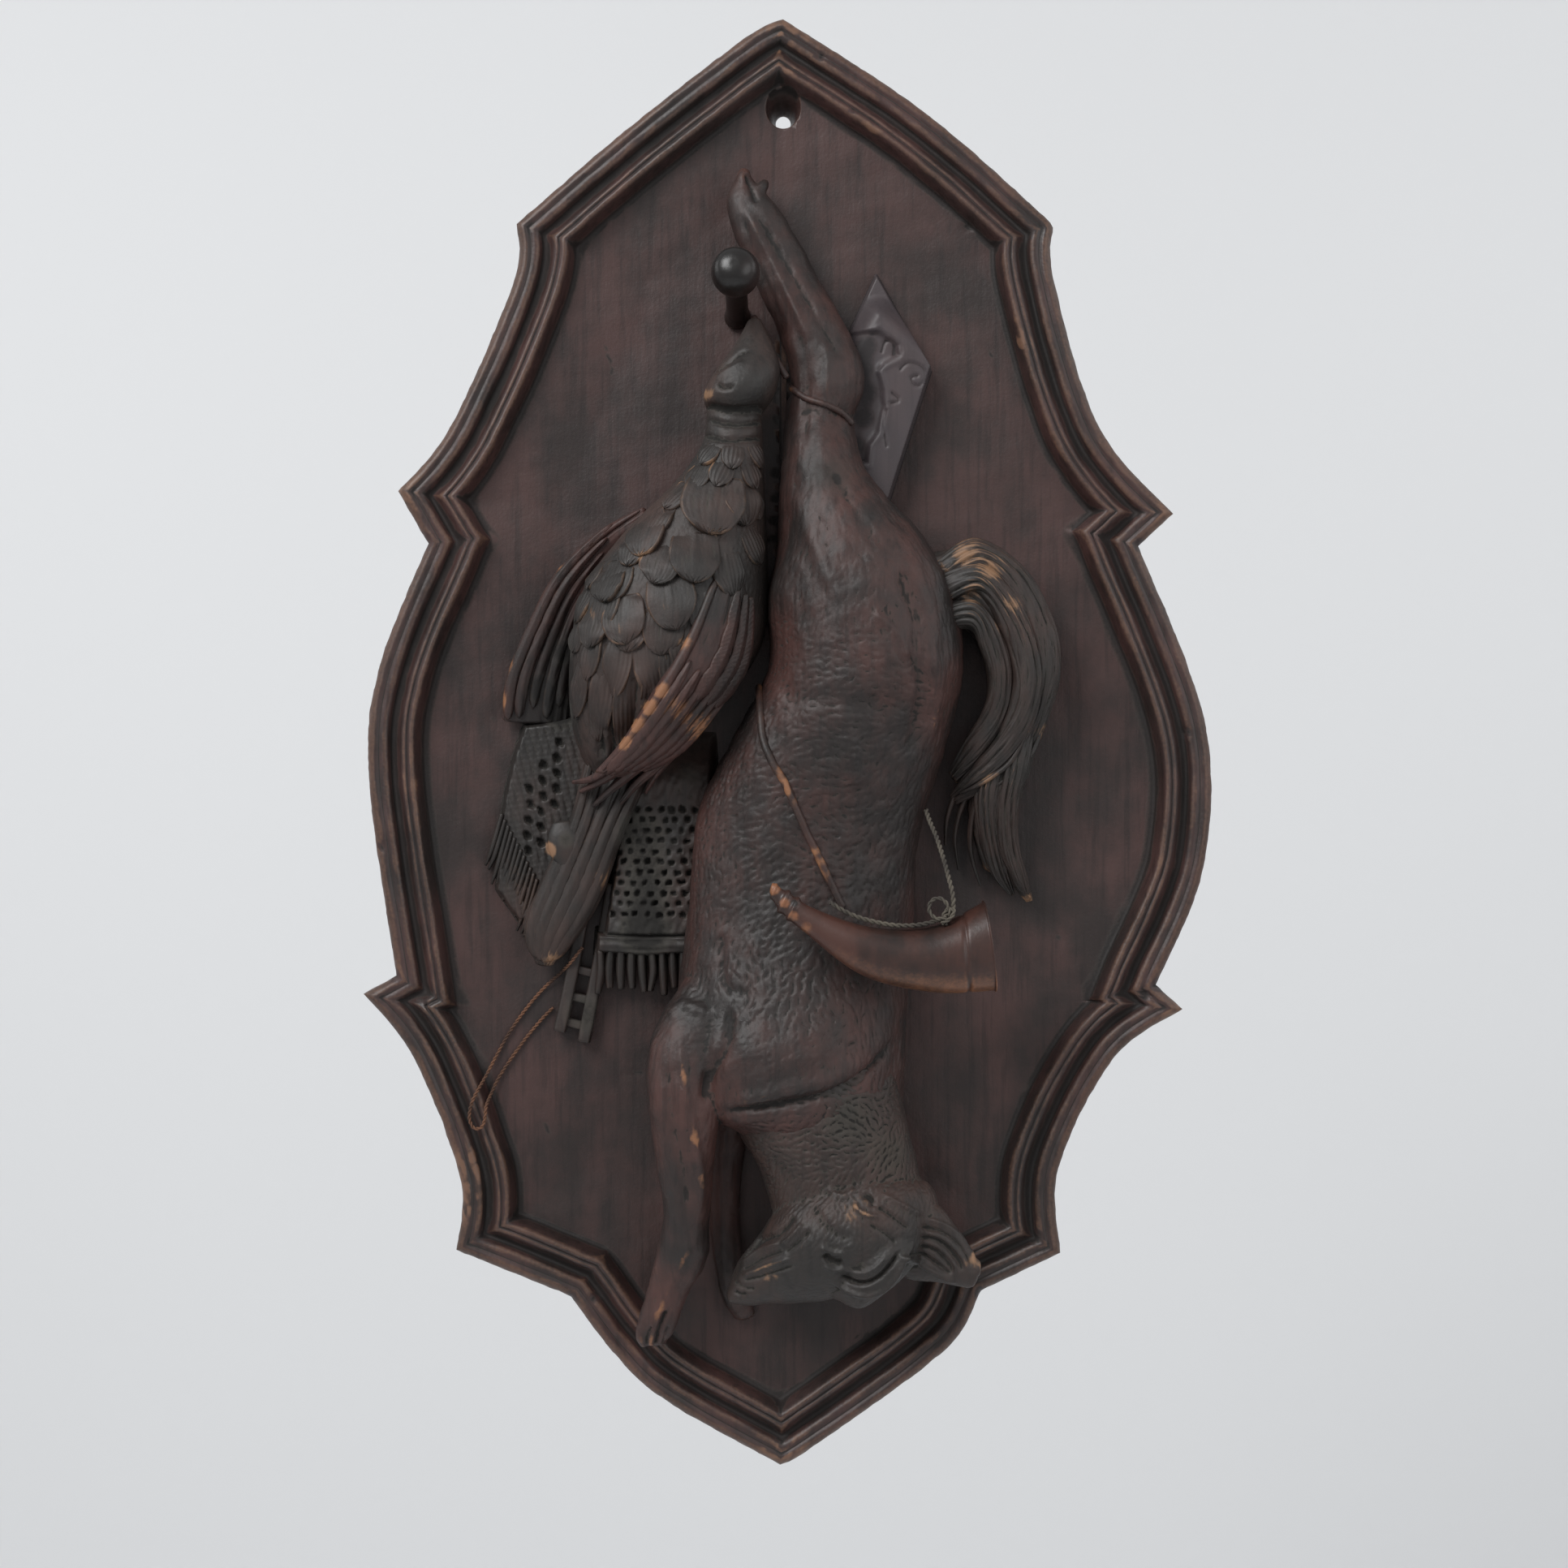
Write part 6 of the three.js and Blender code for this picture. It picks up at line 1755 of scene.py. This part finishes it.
# %% Carved cords
SLING = [[-7.6, -168.6], [-6.9, -182.6], [-6.1, -192.8], [-3.3, -200], [0.5, -206.6], [6.4, -220.1],
         [11, -229.8], [15.6, -239.5], [18.4, -245.6]]
TIE = [[1, -76.4], [2.4, -78.6], [6.4, -83.2], [12.8, -85.8], [18.6, -88.3], [21.6, -91.4]]
LEAD = [[-9.4, -56, 22], [-7.6, -62, 26], [-3.5, -69, 29], [1, -76.5, 30]]    # from the peg to the tie
CORD_SPOTS = [[-7, -175, 4, 0.5], [1, -207, 8, 0.7], [12, -232, 8, 0.6]]
CORD_PITCH = 0.7


def cord_on(tree, path, radius, proud, turns=0.0):
    """A cord on the surface. It stands proud of it by a little, and swells where it is turned."""
    line = evenly(np.array(path, float), CORD_PITCH)
    found = [touch(tree, x, z) for x, z in line]
    raised = [hit[0] + hit[1] * proud for hit in found if hit is not None]
    points = smooth_line(np.array(raised), 8)
    swell = radius * (1 + turns * np.abs(np.sin(run_length(points) * 2.2)))
    return tube(points, swell, sides=14)


cords = [cord_on(body_tree, SLING, 1.25, 0.55), cord_on(body_tree, TIE, 0.9, 0.45, 0.25),
         tube(evenly(at(*np.array(LEAD).T), CORD_PITCH), 1.15, sides=14)]
add_carving("carved_cords", join_forms(cords), CARVED_WOOD, TROPHY_SPOTS + CORD_SPOTS, crest=0.12)

# %% [markdown]
# ## The horn and the knob
# The horn and the knob are polished, so they are smooth and carry only their rings. The horn has three
# rings at its mouthpiece, a groove before the bell and a thin rim, and its bell is hollowed. The knob
# sits on a short peg that leans up a little.

# %% Horn
HORN = [
    [-3, -237.5, 60, -4, -241, 60, 1.9, 1.9], [1.5, -240.5, 60, -1, -246, 60, 2.6, 2.6],
    [10.5, -245.8, 60, 7, -253, 60, 4.2, 4.2], [27.5, -251.2, 59, 24, -265.8, 58.5, 7.6, 7.6],
    [46, -251.2, 56, 46, -271.5, 55.5, 10.2, 10.2], [62.5, -243.6, 53, 66.2, -271.2, 52.5, 13, 13],
]
HORN_RINGS = [  # row number, height, half its length in rows
    [0.3, 0.5, 0.14], [1.0, 0.9, 0.12], [1.42, 0.7, 0.08], [4.5, -0.5, 0.035], [4.97, 0.5, 0.025],
]
HORN_HOLLOW = [[5.0, 0.86], [4.9, 0.80], [4.7, 0.70], [4.4, 0.52], [4.2, 0.3]]   # row number, size
HORN_SQUARE = 2.3
HORN_SIDES = 56


def horn_form():
    s = np.concatenate([np.linspace(0, 2, 90), np.linspace(2, 4.4, 60)[1:], np.linspace(4.4, 5, 50)[1:]])
    angles = 2 * math.pi * (np.arange(HORN_SIDES) + 0.5) / HORN_SIDES
    rings = section_point(between(HORN, s)[:, None], angles[None], HORN_SQUARE)
    proud = sum(height * np.exp(-((s - place) / half) ** 2) for place, height, half in HORN_RINGS)
    rings = rings + grid_normals(rings) * (proud[:, None] + 0.12 * waves(rings, 16, 61))[..., None]
    head, first = dome(rings[0], rings[1], 0.3)
    mouth = []
    for place, size in HORN_HOLLOW:
        ring = section_point(between(HORN, [place])[:, None], angles[None], HORN_SQUARE)[0]
        mouth.append(ring.mean(0) + (ring - ring.mean(0)) * size)
    rings = np.concatenate([head[::-1], rings, mouth])
    return skin(rings, first, mouth[-1].mean(0))


horn = horn_form()
HORN_SPOTS = [
    # the spot below zero paints the shade of a small hole in the ring of the mouthpiece
    [-3, -239, 3.5, 1.6], [0.5, -243.5, 3, 1.2], [3.2, -247.5, 3, 1.0], [3.4, -243.6, 1.4, -2.5],
    [7, -251, 4, 0.8],
]
for i in range(12):               # the lower side is rubbed a little all along
    HORN_SPOTS.append([12 + 5 * i, -257 - 13 * math.sin(min(1, i / 8) * math.pi / 2), 9, 0.27])
add_piece("horn", horn[0], faces_of(horn), "hunting_horn", "polished_horn", HORN_WOOD, HORN_SPOTS, 0.2, 5,
          broken=0.1)

# %% Knob
KNOB_FOOT = [-15, -53.5, 10.8]
KNOB_LEAN = 0.22                  # radians, upwards
KNOB_PROFILE = [  # radius, height on the peg
    [4.4, 0], [4.2, 1.5], [3.7, 5], [3.6, 12], [3.6, 21], [3.9, 24], [4.3, 25.4], [3.8, 26.2],
    [5.2, 27.4], [6.7, 29.6], [7.5, 32], [7.7, 33.8], [7.5, 35.6], [6.8, 37.8], [5.6, 39.6],
    [3.9, 40.7], [2.0, 41.25], [0.9, 41.3],
]
KNOB_SIDES = 48
KNOB_SPOTS = [[-13, -45, 5, 0.4]]

profile = evenly(np.array(KNOB_PROFILE, float), 0.7)
turn = 2 * math.pi * np.arange(KNOB_SIDES) / KNOB_SIDES
radius, height = profile[:, :1], profile[:, 1:]
rings = np.stack([radius * np.cos(turn), -height + 0 * turn, radius * np.sin(turn)], -1)
lean_cos, lean_sin = math.cos(KNOB_LEAN), math.sin(KNOB_LEAN)
tilt = np.array([[1, 0, 0], [0, lean_cos, -lean_sin], [0, lean_sin, lean_cos]])
rings = rings @ tilt + at(*KNOB_FOOT)
knob = skin(rings, rings[0].mean(0), rings[-1].mean(0))
add_piece("knob", knob[0], faces_of(knob), "peg_knob", "turned_knob", KNOB_WOOD, KNOB_SPOTS, 0.2, 5,
          broken=0.3)

# %% [markdown]
# ## Studio
# The plaque was lit softly, from high on the left, against a pale ground. One broad lamp, the window,
# gives the grey sheen on the faces that look up and left. A weak one from the right and the room itself
# fill the shadows, and two more keep the ground even. Floor and ground are only staging.

# %% Ground and floor
GROUND_TONE = colour(226, 227, 228)
SIDE, BEHIND, FLOOR, TOP = 4, 1.5, -1.3, 3      # metres


def pale_surface(name, tone):
    f = Finish(name)
    mottle = f.cloud(900, detail=2)
    f.put(f.surface.inputs["Base Color"], f.blend(mottle * 0.3, tone, darker(tone, 0.94)))
    f.put(f.surface.inputs["Roughness"], 0.9)
    return f.material


def stage_plane(name, near, far):
    """A plane as wide as the stage, between two lines that are given as y and z."""
    corners = [(-SIDE, *near), (SIDE, *near), (SIDE, *far), (-SIDE, *far)]
    mesh = bpy.data.meshes.new(name)
    mesh.from_pydata(corners, [], [[0, 1, 2, 3]])
    made = bpy.data.objects.new(name, mesh)
    bpy.context.scene.collection.objects.link(made)
    mesh.materials.append(pale_surface(name + "_finish", GROUND_TONE))
    return made


stage_plane("ground", (BEHIND, FLOOR), (BEHIND, TOP))
stage_plane("floor", (-SIDE, FLOOR), (BEHIND, FLOOR))
print("ground", BEHIND, "m behind the board, floor", -FLOOR, "m below it")

# %% Lamps
def lamp(name, place, aim, size, watts):
    data = bpy.data.lights.new(name, "AREA")
    data.shape, data.size, data.energy = "SQUARE", size, watts
    made = bpy.data.objects.new(name, data)
    made.location = place
    made.rotation_euler = (Vector(aim) - Vector(place)).to_track_quat("-Z", "Y").to_euler()
    bpy.context.scene.collection.objects.link(made)
    return made


MIDDLE = (0, 0, -0.2)
lamp("window", (-0.95, -1.25, 0.95), MIDDLE, 1.0, 33)
lamp("fill", (1.3, -1.2, 0.2), MIDDLE, 1.2, 8)
lamp("ground_left", (-1.7, 0.3, 0.5), (-0.2, BEHIND, -0.3), 1.0, 4)
lamp("ground_right", (1.7, 0.3, 0.5), (0.2, BEHIND, -0.3), 1.0, 4)
print("lamps:", [made.name for made in bpy.data.lights])

# %% Room
world = bpy.data.worlds.new("room")
world.use_nodes = True
room = world.node_tree.nodes["Background"]
room.inputs["Color"].default_value = (0.97, 0.98, 1.0, 1)
room.inputs["Strength"].default_value = 0.5
bpy.context.scene.world = world
bpy.context.scene.view_settings.view_transform = "Standard"
print("room strength:", room.inputs["Strength"].default_value)

# %% [markdown]
# The finished pieces have to stay in the box of the packed model, apart from a few
# millimetres.
